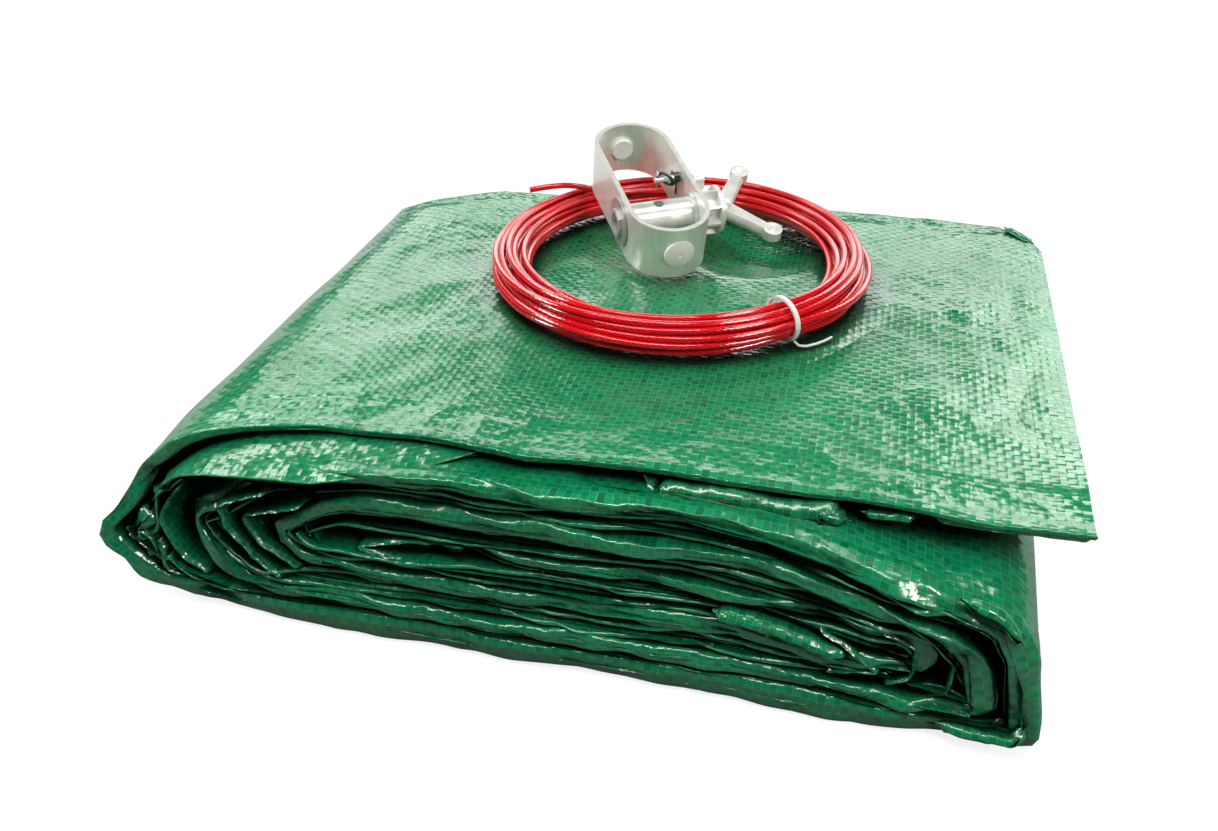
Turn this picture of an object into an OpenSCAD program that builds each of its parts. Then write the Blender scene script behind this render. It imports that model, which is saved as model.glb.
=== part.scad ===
// Winter cover kit for a round above-ground pool: a woven cover folded and rolled into a flat pack, a coil of
// coated steel cable held by a wire tie, and a ratchet cable tensioner that rests on both.
// Z is up, X runs along the front of the pack and Y towards its back. All sizes are in millimetres.

/* [Folded cover] */
// Width of the pack, from its left fold to the edge of its top flap
cover_w = 404; // [380:1:440]
// Depth of the pack, from its front folds to its back folds
cover_d = 310; // [290:1:340]
// Height of the pack
cover_h = 88; // [76:1:110]
// Thickness of the outer turn, the flap that lies over the top
flap_t = 8; // [5:0.5:12]
// How far the flap's front edge lies behind the lowest front fold
flap_setback = 26; // [10:1:36]
// How far the flap sticks out past the right-hand folds
flap_overhang = 15; // [6:1:20]
// How far the left fold reaches past the left edge of the flat top
left_nose = 47; // [30:1:56]
// How far the layers under the flap slump at the front right corner
corner_slump = 16; // [6:1:20]
// How far the pocket at the left of the front reaches behind the lowest front fold
pocket_depth = 26; // [14:1:34]
// Width of the gap seen between one turn of the roll and the next
gap_w = 3; // [1.5:0.5:4]
// How far the gap between the turns reaches behind the lowest front fold
gap_depth = 23; // [14:1:30]

/* [Cable coil] */
// Diameter of the coated cable
cable_d = 3.2; // [2.5:0.1:4.5]
// Outside diameter of the coil
coil_d = 197; // [190:1:206]
// Width of the bundle of turns
bundle_w = 24; // [20:0.5:26]
// Height of the bundle of turns
bundle_h = 21.4; // [18:0.2:23]
// Centre of the coil along the front of the pack
coil_x = 17; // [5:1:30]
// Centre of the coil from the middle of the pack towards the back
coil_y = 50; // [35:1:55]

/* [Coil tie] */
// Where the tie sits round the coil, in degrees from +X
tie_angle = -46; // [-60:1:-30]
// Width of the tie along the bundle
tie_w = 2; // [1.5:0.1:4]
// Thickness of the tie
tie_t = 1.2; // [0.8:0.1:2]

/* [Tensioner frame] */
// Length of the strap loop
frame_l = 101.5; // [96:0.5:108]
// Width of the strap loop
frame_w = 42.3; // [40:0.1:46]
// Width of the strap that the loop is bent from
strap_w = 29; // [28:0.5:32]
// Thickness of the strap
strap_t = 2.5; // [2:0.1:3.5]
// Way that the loop points, in degrees from +Y
frame_heading = 31.2; // [25:0.1:36]
// Place of the loop's front foot along the front of the pack
foot_x = 17.4; // [10:0.1:24]
// Place of the loop's front foot from the middle of the pack towards the back
foot_y = 41.5; // [36:0.1:46]

/* [End bushes] */
// Diameter of the hole for each end bush
bush_hole_d = 9; // [7:0.1:11]
// Diameter of a bush's outer flange
bush_flange_d = 15.6; // [13:0.1:18]
// Diameter of a bush's inner flange
bush_inner_d = 11.6; // [11.2:0.1:12.8]

/* [Spool] */
// Distance of the spool's axis from the middle of the loop, towards the front foot
spool_offset = 18.1; // [16:0.1:20]
// Diameter of the barrel that the cable winds on
barrel_d = 17; // [15:0.1:19]
// Diameter of the journals that turn in the strap
journal_d = 13; // [11.5:0.1:14]
// Bore of the spool tube
spool_bore_d = 10.4; // [8:0.1:10.6]
// Diameter of the cross hole that the cable's end goes through
cable_hole_d = 5.5; // [4:0.1:6.5]
// Diameter of the collar inside the right-hand wall
collar_d = 20.6; // [19.4:0.1:23]
// Diameter of the washer under the flared end
end_washer_d = 24.8; // [18:0.1:27]
// Thickness of that washer
end_washer_t = 1.4; // [1:0.1:2]

/* [Wing handle and ratchet] */
// Number of ratchet teeth
teeth = 8; // [6:1:8]
// Diameter over the tooth tips
ratchet_d = 25.2; // [24:0.1:26]
// Diameter of the core between the teeth
ratchet_core_d = 16.4; // [14.4:0.1:17.4]
// Length of the teeth along the axis
tooth_l = 8.4; // [7:0.1:10]
// Thickness of a tooth at its tip
tooth_tip_t = 1.4; // [1:0.1:1.5]
// Distance of each knob's centre from the spool's axis
knob_reach = 24.5; // [20:0.1:26]
// Distance of the knobs' centres outside the strap
knob_out = 33.3; // [30:0.1:36]
// Diameter of a knob
knob_d = 10; // [8:0.1:11]
// Turn of the handle from the plane of the loop, in degrees
handle_turn = 3.8; // [0:0.1:8]

/* [Pawl] */
// Distance of the pawl's pin from the spool's axis, along the loop
pawl_back = 21.7; // [21:0.1:23]
// Height of the pawl's pin over the middle of the strap
pawl_up = 7.7; // [6.5:0.1:8.5]
// Diameter of the pawl's pin
pawl_pin_d = 3.2; // [2.6:0.1:3.6]
// Thickness of the pawl
pawl_t = 5; // [4:0.1:6]
// Lean of the loose washer on the pin, in degrees
washer_lean = 48; // [0:1:50]

/* [Hidden] */
$fn = 64;
seat_gap = 0.3;       // a soft or round piece and what it rests on
run_gap = 0.05;       // a journal in its hole, on the radius
side_gap = 0.15;      // two flat faces that turn past each other
over = 1;             // how far a cut runs past the face that it opens

cover_green = [0.02, 0.36, 0.2];
cable_red = [0.75, 0.03, 0.06];
white_plastic = [0.93, 0.94, 0.9];
aluminium = [0.78, 0.79, 0.78];
cast_metal = [0.7, 0.72, 0.7];
zinc = [0.62, 0.65, 0.66];
dark_steel = [0.2, 0.22, 0.22];

// ---- where the coil and the tensioner rest
top_z = cover_h;
coil_r = (coil_d - bundle_w) / 2;
coil_z = top_z + seat_gap + bundle_h / 2;

// The loop stands on its front foot and leans back on the crest of the coil. Seen along the loop, the bundle is
// an ellipse whose centre lies lean_run behind the foot, and the strap's edge is the tangent from the foot.
heading_back = [-sin(frame_heading), cos(frame_heading)];
heading_side = [cos(frame_heading), sin(frame_heading)];
contact_side = 0.4 * frame_w;
foot_to_coil = [foot_x - coil_x, foot_y - coil_y] - contact_side * heading_side;
foot_along = foot_to_coil * heading_back;
lean_run = -foot_along + sqrt(coil_r * coil_r - foot_to_coil * foot_to_coil + foot_along * foot_along);
lean_rise = bundle_h / 2 + seat_gap;
lean_open = lean_run * lean_run - bundle_w * bundle_w / 4;
lean_root = sqrt(pow(lean_run * lean_rise, 2) - lean_open * (pow(lean_rise, 2) - pow(bundle_h / 2, 2)));
frame_lean = atan((lean_run * lean_rise + lean_root) / lean_open);

// ---- stations along the spool's axis, from the middle of the loop; the handle is on the +X side
wall_out = frame_w / 2;
wall_in = wall_out - strap_t;
end_r = frame_w / 2;
end_y = frame_l / 2 - end_r;
washer_x = -wall_out - side_gap - end_washer_t;
flare_t = 1.8;
flare_d = journal_d + 1.6;
collar_t = 2;
wheel_x = wall_out + 0.9;
flange_t = 2.2;
hub_x = wheel_x + tooth_l + flange_t;
hub_d = 11;
knob_x = wall_out + knob_out;
spool_y = -spool_offset;
arm_root_d = 9.6;
arm_tip_d = 7.4;
arm_t = 6;
knob_t = 6.4;

// ---- the hollow in the soft top that leaves room for the handle to turn
sweep_r = knob_reach + knob_d / 2;
spool_height = seat_gap + strap_w / 2 * cos(frame_lean) + (frame_l / 2 - spool_offset) * sin(frame_lean);
hollow_depth = max(1, sweep_r - spool_height + 0.8);
hollow_r = 34;
flap_press = max(3, hollow_depth + 2 - flap_t);
hollow_ball_r = (hollow_r * hollow_r + hollow_depth * hollow_depth) / (2 * hollow_depth);
hollow_back = (frame_l / 2 - spool_offset) * cos(frame_lean) - strap_w / 2 * sin(frame_lean);
hollow_x = foot_x + hollow_back * heading_back[0] + knob_x * heading_side[0];
hollow_y = foot_y + hollow_back * heading_back[1] + knob_x * heading_side[1];

// ---- the pawl, in the plane across the spool's axis; the nose stands a sixth of a tooth step past a tooth
pawl_y = spool_y + pawl_back;
pawl_z = pawl_up;
tooth_step = 360 / teeth;
nose_angle = handle_turn + tooth_step + 7.5;
nose_tip_r = ratchet_d / 2 - 1.4;
pin_in_x = 4;
lean_washer_x = 10.4;
lean_washer_t = 0.8;
split_x = 5.4;
split_wire_r = 0.45;

function arc(c, r, a0, a1, n) = [for (i = [0:n]) let (a = a0 + (a1 - a0) * i / n) c + r * [cos(a), sin(a)]];
function ellipse(w, h, n) = [for (i = [0:n - 1]) [w / 2 * cos(360 * i / n), h / 2 * sin(360 * i / n)]];
function unit(v) = v / norm(v);
function along(p, i) = unit(p[min(i + 1, len(p) - 1)] - p[max(i - 1, 0)]);

// A round cord of radius r along the points p, with n sides; up is any direction that p never runs along.
module cord(p, r, n, up) {
    rings = [for (i = [0:len(p) - 1])
        let (t = along(p, i), u = unit(cross(t, up)), v = cross(u, t))
        [for (k = [0:n - 1]) p[i] + r * (cos(360 * k / n) * u + sin(360 * k / n) * v)]];
    points = [for (ring = rings) each ring];
    last = (len(p) - 1) * n;
    sides = [for (i = [0:len(p) - 2], k = [0:n - 1]) let (j = (k + 1) % n)
        [i * n + k, i * n + j, i * n + n + j, i * n + n + k]];
    start_cap = [for (k = [n - 1:-1:0]) k];
    end_cap = [for (k = [0:n - 1]) last + k];
    polyhedron(points = points, faces = concat([start_cap], sides, [end_cap]), convexity = 6);
}

// ---------------------------------------------------------------- folded cover
// The end view of the roll: a pointed left fold and blunt right-hand folds.
function roll_outline(grow = 0) =
    let (l = -cover_w / 2 - grow, r = cover_w / 2 - flap_overhang, top = cover_h - flap_t)
    [[l + 0.9 * left_nose, 0], [r + 11, 0], [r + 13, 0.07 * top], [r + 9, 0.4 * top], [r + 5, 0.75 * top],
     [r, top], [l + left_nose, top], [l + 0.72 * left_nose, 0.93 * top], [l + 0.36 * left_nose, 0.74 * top],
     [l, 0.45 * top], [l + 0.08 * left_nose, 0.34 * top], [l + 0.4 * left_nose, 0.12 * top]];

// Everything above the slope that the layers under the flap take at the front right corner.
module slump() {
    side = cover_w;
    run_x = 0.35 * cover_w;
    run_y = 0.3 * cover_d;
    turn = atan2(run_y, run_x);
    translate([cover_w / 2 - run_x, -cover_d / 2, cover_h - flap_t])
        rotate([0, 0, turn])
            rotate([atan(corner_slump / (run_x * sin(turn))), 0, 0])
                translate([-side / 2, -side, 0])
                    cube([2 * side, 2 * side, side]);
}

// The outline of a line w wide through the points p.
function band(p, w) =
    let (side = [for (i = [0:len(p) - 1]) let (d = along(p, i)) [-d[1], d[0]] * w / 2])
    concat([for (i = [0:len(p) - 1]) p[i] + side[i]], [for (i = [len(p) - 1:-1:0]) p[i] - side[i]]);

// The spiral gap that shows at the front between the turns of the roll.
module turn_gap() {
    l = -cover_w / 2;
    r = cover_w / 2;
    top = cover_h - flap_t;
    turn_t = 0.175 * top;
    translate([0, -cover_d / 2 + gap_depth, 0])
        rotate([90, 0, 0])
            linear_extrude(height = 2 * gap_depth)
                polygon(band([[l + 48, 1.5 * turn_t], [l + 60, turn_t], [r - 28, turn_t], [r - 24, 1.3 * turn_t],
                              [r - 24, top - 2.1 * turn_t], [r - 37, top - 1.4 * turn_t],
                              [r - 92, top - turn_t], [l + 92, top - turn_t], [l + 70, 0.62 * top],
                              [l + 86, 2.45 * turn_t], [l + 105, 2 * turn_t], [r - 44, 2 * turn_t],
                              [r - 40, 2.4 * turn_t], [r - 42, 3.3 * turn_t], [r - 52, top - 2 * turn_t],
                              [l + 120, top - 2 * turn_t], [l + 104, 0.575 * top], [l + 118, 3 * turn_t],
                              [r - 60, 3 * turn_t]], gap_w));
}

// The pocket that the outer turn leaves before the pointed left fold of the next one.
module left_pocket() {
    l = -cover_w / 2;
    top = cover_h - flap_t;
    translate([0, -cover_d / 2 + pocket_depth, 0])
        rotate([90, 0, 0])
            linear_extrude(height = 2 * pocket_depth)
                polygon([[l + 0.3 * left_nose, 0.45 * top], [l + 1.1 * left_nose, 0.84 * top],
                         [l + 1.6 * left_nose, 0.84 * top], [l + 0.95 * left_nose, 0.6 * top],
                         [l + 1.5 * left_nose, 0.24 * top], [l + 0.6 * left_nose, 0.24 * top]]);
}

// The ball that presses the hollow into the top; below is how far under the top face it is pressed.
module hollow(below = 0) {
    translate([hollow_x, hollow_y, top_z - hollow_depth - below + hollow_ball_r])
        sphere(r = hollow_ball_r, $fn = 96);
}

module cover_roll() {
    top = cover_h - flap_t;
    front = -cover_d / 2;
    back = cover_d / 2;
    color(cover_green)
    difference() {
        intersection() {
            rotate([90, 0, 0])
                linear_extrude(height = cover_d, center = true)
                    polygon(roll_outline());
            rotate([90, 0, 90])
                linear_extrude(height = cover_w, center = true)
                    polygon([[front + 4, 0], [back - 4, 0], [back, 0.4 * top], [back - 2, top],
                             [front + flap_setback - 5, top], [front + 0.3 * flap_setback, 0.6 * top],
                             [front, 0.12 * top]]);
        }
        hollow(flap_press + 0.2);
        slump();
        left_pocket();
        turn_gap();
    }
}

module cover_flap() {
    left = -cover_w / 2 + left_nose;
    right = cover_w / 2;
    front = -cover_d / 2 + flap_setback;
    back = cover_d / 2 - 2;
    color(cover_green)
    difference() {
        union() {
            translate([0, 0, cover_h - flap_t])
                linear_extrude(height = flap_t)
                    polygon([[left, front - 10], [left + 45, front], [left + 130, front + 5], [right, front],
                             [right - 4, back - 60], [right - 4, back], [left + 40, back], [left + 8, back - 22]]);
            intersection() {
                hollow(flap_press);
                translate([hollow_x, hollow_y, cover_h - flap_t - flap_press])
                    cylinder(r = hollow_r, h = flap_press + over);
            }
        }
        hollow();
    }
}

// ---------------------------------------------------------------- cable and its tie
module at_tie() {
    rotate([0, 0, tie_angle])
        translate([coil_r, 0, coil_z])
            rotate([90, 0, 0])
                children();
}

module cable_coil() {
    groove = tie_t + 0.2;
    color(cable_red)
    translate([coil_x, coil_y, 0])
    difference() {
        translate([0, 0, coil_z])
            rotate_extrude($fn = 96)
                translate([coil_r, 0])
                    polygon(ellipse(bundle_w, bundle_h, 20));
        at_tie()
            linear_extrude(height = tie_w + 0.4, center = true)
                difference() {
                    square([bundle_w + 4, bundle_h + 4], center = true);
                    polygon(ellipse(bundle_w - 2 * groove, bundle_h - 2 * groove, 24));
                }
    }
}

// The free end of the cable, which leaves the top of the coil at the back and sticks out past its left side.
tail_z = top_z + seat_gap + bundle_h + 0.3;
tail_points = [[-54, 59, tail_z - 7.5], [-59.5, 55.5, tail_z - 4.2], [-66, 52, tail_z - 1.6], [-74, 48.6, tail_z],
    [-83, 45, tail_z - 0.2], [-93.5, 41, tail_z - 1.6]];

module cable_tail() {
    color(cable_red)
    translate([coil_x, coil_y, 0])
        cord(tail_points, cable_d / 2, 8, [0, 0, 1]);
}

module coil_tie() {
    color(white_plastic)
    translate([coil_x, coil_y, 0])
    at_tie()
        linear_extrude(height = tie_w, center = true)
            difference() {
                polygon(ellipse(bundle_w - 0.2, bundle_h - 0.2, 24));
                polygon(ellipse(bundle_w - 0.2 - 2 * tie_t, bundle_h - 0.2 - 2 * tie_t, 24));
            }
}

// The tie's loose end lies on the cover beside the coil.
tie_tail_z = top_z + seat_gap + tie_t / 2 + 0.1;
tie_tail_points = [[9.3, 0, 2.6], [11.2, 1.5, 0.8], [12.3, 5, 0], [12.8, 10, 0], [12.6, 15, 0], [12, 20, 0.3]];

module tie_tail() {
    color(white_plastic)
    translate([coil_x, coil_y, tie_tail_z])
        rotate([0, 0, tie_angle])
            translate([coil_r, 0, 0])
                cord(tie_tail_points, tie_t / 2, 8, [0, 0, 1]);
}

// ---------------------------------------------------------------- tensioner
// Puts its children in the tensioner's own frame: the origin in the middle of the loop, X along the spool,
// Y along the loop towards its back and Z across the strap.
module on_tensioner() {
    translate([foot_x, foot_y, top_z + seat_gap])
        rotate([frame_lean, 0, frame_heading])
            translate([0, frame_l / 2, strap_w / 2])
                children();
}

module bar_x(d, x0, x1) {
    translate([x0, 0, 0])
        rotate([0, 90, 0])
            cylinder(d = d, h = x1 - x0);
}

module bar_y(d, y0, y1) {
    translate([0, y0, 0])
        rotate([-90, 0, 0])
            cylinder(d = d, h = y1 - y0);
}

module at_spool() {
    translate([0, spool_y, 0])
        children();
}

module at_pawl() {
    translate([0, pawl_y, pawl_z])
        children();
}

module racetrack(inset) {
    for (side = [-1, 1])
        translate([0, side * end_y, 0])
            cylinder(r = end_r - inset, h = strap_w + 2 * inset, center = true, $fn = 128);
    cube([2 * (end_r - inset), 2 * end_y, strap_w + 2 * inset], center = true);
}

module tensioner_frame() {
    color(aluminium)
    on_tensioner()
    difference() {
        racetrack(0);
        racetrack(strap_t);
        for (side = [-1, 1])
            bar_y(bush_hole_d, side * (frame_l / 2 - strap_t / 2) - 4, side * (frame_l / 2 - strap_t / 2) + 4);
        at_spool()
            bar_x(journal_d + 2 * run_gap, -wall_out - over, wall_out + over);
        at_pawl()
            bar_x(pawl_pin_d + 2 * run_gap, wall_in - over, wall_out + over);
    }
}

// A bush is pushed in from outside: a domed flange with a dimple, a neck and a smaller flange inside the strap.
module bush() {
    flange_t_out = 1.6;
    flange_t_in = 1.4;
    neck_d = bush_hole_d - 0.1;
    r_in = end_r - strap_t;
    color(white_plastic)
    difference() {
        union() {
            bar_y(neck_d, frame_l / 2 - strap_t - flange_t_in - 1, frame_l / 2 + 0.5);
            intersection() {
                bar_y(bush_flange_d, end_y, frame_l / 2 + flange_t_out);
                difference() {
                    translate([0, frame_l / 2 + flange_t_out - 24, 0])
                        sphere(r = 24, $fn = 96);
                    translate([0, end_y, 0])
                        cylinder(r = end_r + 0.05, h = strap_w, center = true, $fn = 128);
                }
            }
            intersection() {
                bar_y(bush_inner_d, frame_l / 2 - strap_t - flange_t_in - 1, frame_l / 2);
                translate([0, end_y, 0])
                    cylinder(r = r_in - 0.05, h = strap_w, center = true, $fn = 128);
            }
        }
        bar_y(2.4, frame_l / 2 + flange_t_out - 0.6, frame_l / 2 + flange_t_out + over);
    }
}

module front_bush() {
    on_tensioner()
        rotate([0, 0, 180])
            bush();
}

module rear_bush() {
    on_tensioner()
        bush();
}

// ---------------------------------------------------------------- spool
module spool_tube() {
    barrel_x0 = -wall_in + side_gap;
    barrel_x1 = wall_in - side_gap - collar_t;
    color(zinc)
    on_tensioner()
    at_spool()
    difference() {
        union() {
            bar_x(barrel_d, barrel_x0, barrel_x1);
            bar_x(journal_d, washer_x - 0.2, wheel_x - 0.3);
            translate([washer_x - flare_t, 0, 0])
                rotate([0, 90, 0])
                    cylinder(d = flare_d, h = flare_t - side_gap / 2, $fn = 8);
        }
        bar_x(spool_bore_d, washer_x - flare_t - over, wheel_x + over);
        translate([-1, 0, 0])
            cylinder(d = cable_hole_d, h = barrel_d + 2 * over, center = true);
    }
}

module end_washer() {
    color(zinc)
    on_tensioner()
    at_spool()
    difference() {
        bar_x(end_washer_d, washer_x, washer_x + end_washer_t);
        bar_x(journal_d + 0.2, washer_x - over, washer_x + end_washer_t + over);
    }
}

module spool_collar() {
    color(zinc)
    on_tensioner()
    at_spool()
    difference() {
        bar_x(collar_d, wall_in - side_gap - collar_t, wall_in - side_gap);
        bar_x(journal_d + 0.1, wall_in - collar_t - 2, wall_in + over);
    }
}

// ---------------------------------------------------------------- wing handle with its ratchet teeth, one casting
module ratchet_tooth() {
    root_r = ratchet_core_d / 2 - 0.6;
    tip_r = ratchet_d / 2;
    translate([wheel_x, 0, 0])
        rotate([90, 0, 90])
            linear_extrude(height = tooth_l + 0.2)
                polygon([[root_r, -1.3], [tip_r, -tooth_tip_t / 2], [tip_r, tooth_tip_t / 2], [root_r, 1.3]]);
}

module wing_arm(side) {
    arm_x0 = hub_x + 2.6;
    run = [knob_x - arm_x0, side * knob_reach];
    angle = atan2(run[1], run[0]);
    translate([arm_x0, 0, 0])
        rotate([0, 0, angle])
            intersection() {
                rotate([0, 90, 0])
                    cylinder(d1 = arm_root_d, d2 = arm_tip_d, h = norm(run) - 1);
                cube([3 * norm(run), 2 * arm_root_d, arm_t], center = true);
            }
    translate([knob_x, side * knob_reach, 0])
        knob();
}

// A round finger pad: domed underneath, with a shallow dish and a low dome in it on top.
module knob() {
    dish_d = knob_d - 2.2;
    dish_deep = 0.9;
    dish_r = (dish_d * dish_d / 4 + dish_deep * dish_deep) / (2 * dish_deep);
    difference() {
        intersection() {
            cylinder(d = knob_d, h = knob_t, center = true);
            translate([0, 0, knob_d - knob_t / 2])
                sphere(r = knob_d, $fn = 96);
        }
        translate([0, 0, knob_t / 2 - dish_deep + dish_r])
            sphere(r = dish_r, $fn = 96);
    }
    translate([0, 0, knob_t / 2 - 2.4])
        sphere(d = 0.42 * knob_d, $fn = 32);
}

module wing_handle() {
    spigot_d = spool_bore_d - 0.1;
    color(cast_metal)
    on_tensioner()
    at_spool()
    rotate([handle_turn, 0, 0])
    union() {
        bar_x(spigot_d, wheel_x - 12, wheel_x + 1);
        bar_x(ratchet_core_d, wheel_x, wheel_x + tooth_l + 0.2);
        for (i = [0:teeth - 1])
            rotate([i * tooth_step, 0, 0])
                ratchet_tooth();
        bar_x(ratchet_d, wheel_x + tooth_l, hub_x);
        bar_x(hub_d, hub_x - over, hub_x + 3.6);
        translate([hub_x + 3.2, 0, 0])
            sphere(d = hub_d, $fn = 48);
        for (side = [-1, 1])
            wing_arm(side);
    }
}

// ---------------------------------------------------------------- pawl, on the outside of the right-hand wall
// The pawl's side view in the plane across the spool, from the pin: a boss, an arm over the teeth and a nose.
nose_out = [cos(nose_angle), sin(nose_angle)];
nose_side = [-sin(nose_angle), cos(nose_angle)];
nose_tip = nose_tip_r * nose_out - [pawl_back, pawl_up];
nose_heel = nose_tip + 4.6 * nose_out;

module pawl_side(outline_t) {
    rotate([90, 0, 90])
        linear_extrude(height = outline_t)
            children();
}

module pawl_body() {
    pawl_side(pawl_t)
        hull() {
            circle(d = 8.4, $fn = 48);
            translate(nose_heel + 0.6 * nose_out)
                circle(d = 4.4, $fn = 48);
        }
    pawl_side(pawl_t)
        polygon([nose_tip - 0.35 * nose_side, nose_tip + 0.35 * nose_side,
                 nose_heel + 1.9 * nose_side + nose_out, nose_heel - 1.5 * nose_side + nose_out]);
}

module pawl() {
    color(cast_metal)
    on_tensioner()
    at_pawl()
    difference() {
        translate([wall_out + side_gap, 0, 0])
            pawl_body();
        bar_x(pawl_pin_d + 0.1, wall_out - over, wall_out + pawl_t + 3);
    }
}

module pawl_pin() {
    head_x = wall_out + side_gap + pawl_t + 0.1;
    color(zinc)
    on_tensioner()
    at_pawl()
    difference() {
        union() {
            bar_x(pawl_pin_d, pin_in_x, head_x + 0.2);
            bar_x(pawl_pin_d + 2.6, head_x, head_x + 1.2);
        }
        translate([split_x, 0, 0])
            cylinder(r = 2 * split_wire_r + 0.1, h = pawl_pin_d + 2 * over, center = true, $fn = 32);
    }
}

module pawl_washer() {
    color(dark_steel)
    on_tensioner()
    at_pawl()
    translate([lean_washer_x, 0, 0])
        rotate([39, 0, 0])
            rotate([0, 0, washer_lean])
                difference() {
                    bar_x(11.6, -lean_washer_t / 2, lean_washer_t / 2);
                    bar_x(7, -over, over);
                }
}

// A split pin of round wire: an eye above the pin and two legs through it.
module split_pin() {
    eye_r = 1.2;
    eye_z = pawl_pin_d / 2 + eye_r + split_wire_r + 0.3;
    leg_l = 5.2;
    color(zinc)
    on_tensioner()
    at_pawl()
    translate([split_x, 0, 0]) {
        translate([0, 0, eye_z])
            rotate([0, 90, 0])
                rotate_extrude($fn = 32)
                    translate([eye_r, 0])
                        circle(r = split_wire_r, $fn = 16);
        for (side = [-1, 1])
            translate([0, side * 0.75 * split_wire_r, -leg_l + 0.8 * side])
                cylinder(r = split_wire_r, h = leg_l - 0.8 * side + eye_z - eye_r + 0.1, $fn = 16);
    }
}

// A torsion spring round the pin inside the wall, with a long leg down the strap and a short one over the pin.
module pawl_spring() {
    wire_r = 0.5;
    mean_r = pawl_pin_d / 2 + wire_r + 0.35;
    turns = 3;
    start_x = wall_in - 0.7;
    pitch = 2 * wire_r + 0.12;
    steps = 14;
    coil = [for (i = [0:turns * steps]) let (a = 360 * i / steps)
        [start_x - pitch * i / steps, mean_r * cos(a), mean_r * sin(a)]];
    leg = [for (i = [6:-1:1]) [start_x, mean_r + 0.25 * sin(30 * i), -2.1 * i]];
    top_leg = [for (i = [1:2]) [coil[len(coil) - 1][0], mean_r, 1.3 * i]];
    color(dark_steel)
    on_tensioner()
    at_pawl()
        cord(concat(leg, coil, top_leg), wire_r, 8, [1, 0, 0]);
}

cover_roll();
cover_flap();
cable_coil();
cable_tail();
coil_tie();
tie_tail();
tensioner_frame();
front_bush();
rear_bush();
spool_tube();
end_washer();
spool_collar();
wing_handle();
pawl();
pawl_pin();
pawl_washer();
split_pin();
pawl_spring();
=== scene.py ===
"""A winter cover for a round pool, folded and rolled, with its coil of coated cable and its tensioner.

The part's own frame: X along the front of the pack, Y towards its back, Z up. Shapes are worked out in
millimetres and made in metres. The scales of noise in materials are in cells for each metre.
"""
import bpy
import itertools
import math
import numpy as np
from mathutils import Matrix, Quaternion, Vector


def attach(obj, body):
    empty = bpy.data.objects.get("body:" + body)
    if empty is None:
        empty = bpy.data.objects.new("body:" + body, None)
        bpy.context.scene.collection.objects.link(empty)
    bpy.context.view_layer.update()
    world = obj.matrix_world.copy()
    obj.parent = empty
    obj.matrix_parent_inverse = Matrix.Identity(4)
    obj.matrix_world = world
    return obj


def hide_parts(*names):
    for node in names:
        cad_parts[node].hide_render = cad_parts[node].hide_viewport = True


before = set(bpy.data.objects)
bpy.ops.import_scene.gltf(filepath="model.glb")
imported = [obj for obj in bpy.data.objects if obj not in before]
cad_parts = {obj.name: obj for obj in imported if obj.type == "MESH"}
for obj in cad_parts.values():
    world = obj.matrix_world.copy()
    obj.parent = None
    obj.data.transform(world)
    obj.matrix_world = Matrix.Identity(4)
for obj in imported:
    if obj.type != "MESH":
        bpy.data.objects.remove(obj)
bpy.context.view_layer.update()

MM = 0.001
SEED = 7
FULL_TURN = 2 * math.pi

# ---- the folded cover
PLIES = 28                   # plies of cloth in the folded strip
PLY_STEP = 0.49              # from one ply to the next
BIG_LIP_PLIES = 16           # the outer plies, which turn round together in one thick lip at the front
TOP_Z = 88.0
PANEL_LENGTH = 300.0         # from the back folds to the front folds
TAPE = 3.175                 # width of a woven tape

# ---- the cable
CABLE_D = 3.2
COIL_CENTRE = np.array([17.0, 50.0])
COIL_R = 86.5
BUNDLE_W = 24.0
BUNDLE_H = 21.4
SEAT_GAP = 0.3               # between the cover's top and the coil
TURNS = 22
TURN_POINTS = 72
TIE_ANGLE = math.radians(-46)

# ---- the tensioner
FRAME_HEADING = math.radians(31.2)


# ---------------------------------------------------------------- small helpers
LATTICE = 64                 # cells along a side of the table of chances behind the noises
FACET_WANDER = 0.3           # how far the rows of facets wander, in cells
FACET_SWINGS = (1.7, 1.3)    # how fast each direction sways with the other


def noise(points, seed):
    """Smooth noise from -1 to 1 at an array of points, one value for each, a lattice cell being 1 wide."""
    table = np.random.default_rng(seed).uniform(-1, 1, (LATTICE, LATTICE, LATTICE))
    cell = np.floor(points).astype(int)
    far = points - cell
    far = far * far * (3 - 2 * far)
    total = 0
    for corner in itertools.product((0, 1), repeat=3):
        value = table[tuple((cell[..., k] + corner[k]) % LATTICE for k in range(3))]
        share = [far[..., k] if corner[k] else 1 - far[..., k] for k in range(3)]
        total = total + value * share[0] * share[1] * share[2]
    return total


def facets(a, b, seed):
    """Creased noise from -1 to 1 made of flat triangles about 1 wide, as stiff film crumples."""
    table = np.random.default_rng(seed).uniform(-1, 1, (LATTICE, LATTICE))
    a, b = np.broadcast_arrays(a, b)
    a = a + FACET_WANDER * np.sin(FACET_SWINGS[0] * b + seed)
    b = b + FACET_WANDER * np.sin(FACET_SWINGS[1] * a + 2.0 * seed)
    i, j = np.floor(a).astype(int), np.floor(b).astype(int)
    in_a, in_b = a - i, b - j
    next_i, next_j = (i + 1) % LATTICE, (j + 1) % LATTICE
    i, j = i % LATTICE, j % LATTICE
    lower = table[i, j] * (1 - in_a) + table[next_i, j] * (in_a - in_b) + table[next_i, next_j] * in_b
    upper = table[i, j] * (1 - in_b) + table[i, next_j] * (in_b - in_a) + table[next_i, next_j] * in_a
    return np.where(in_a > in_b, lower, upper)


def stacked(*values):
    """An array of points from their coordinates."""
    return np.stack(np.broadcast_arrays(*values), axis=-1)


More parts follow.
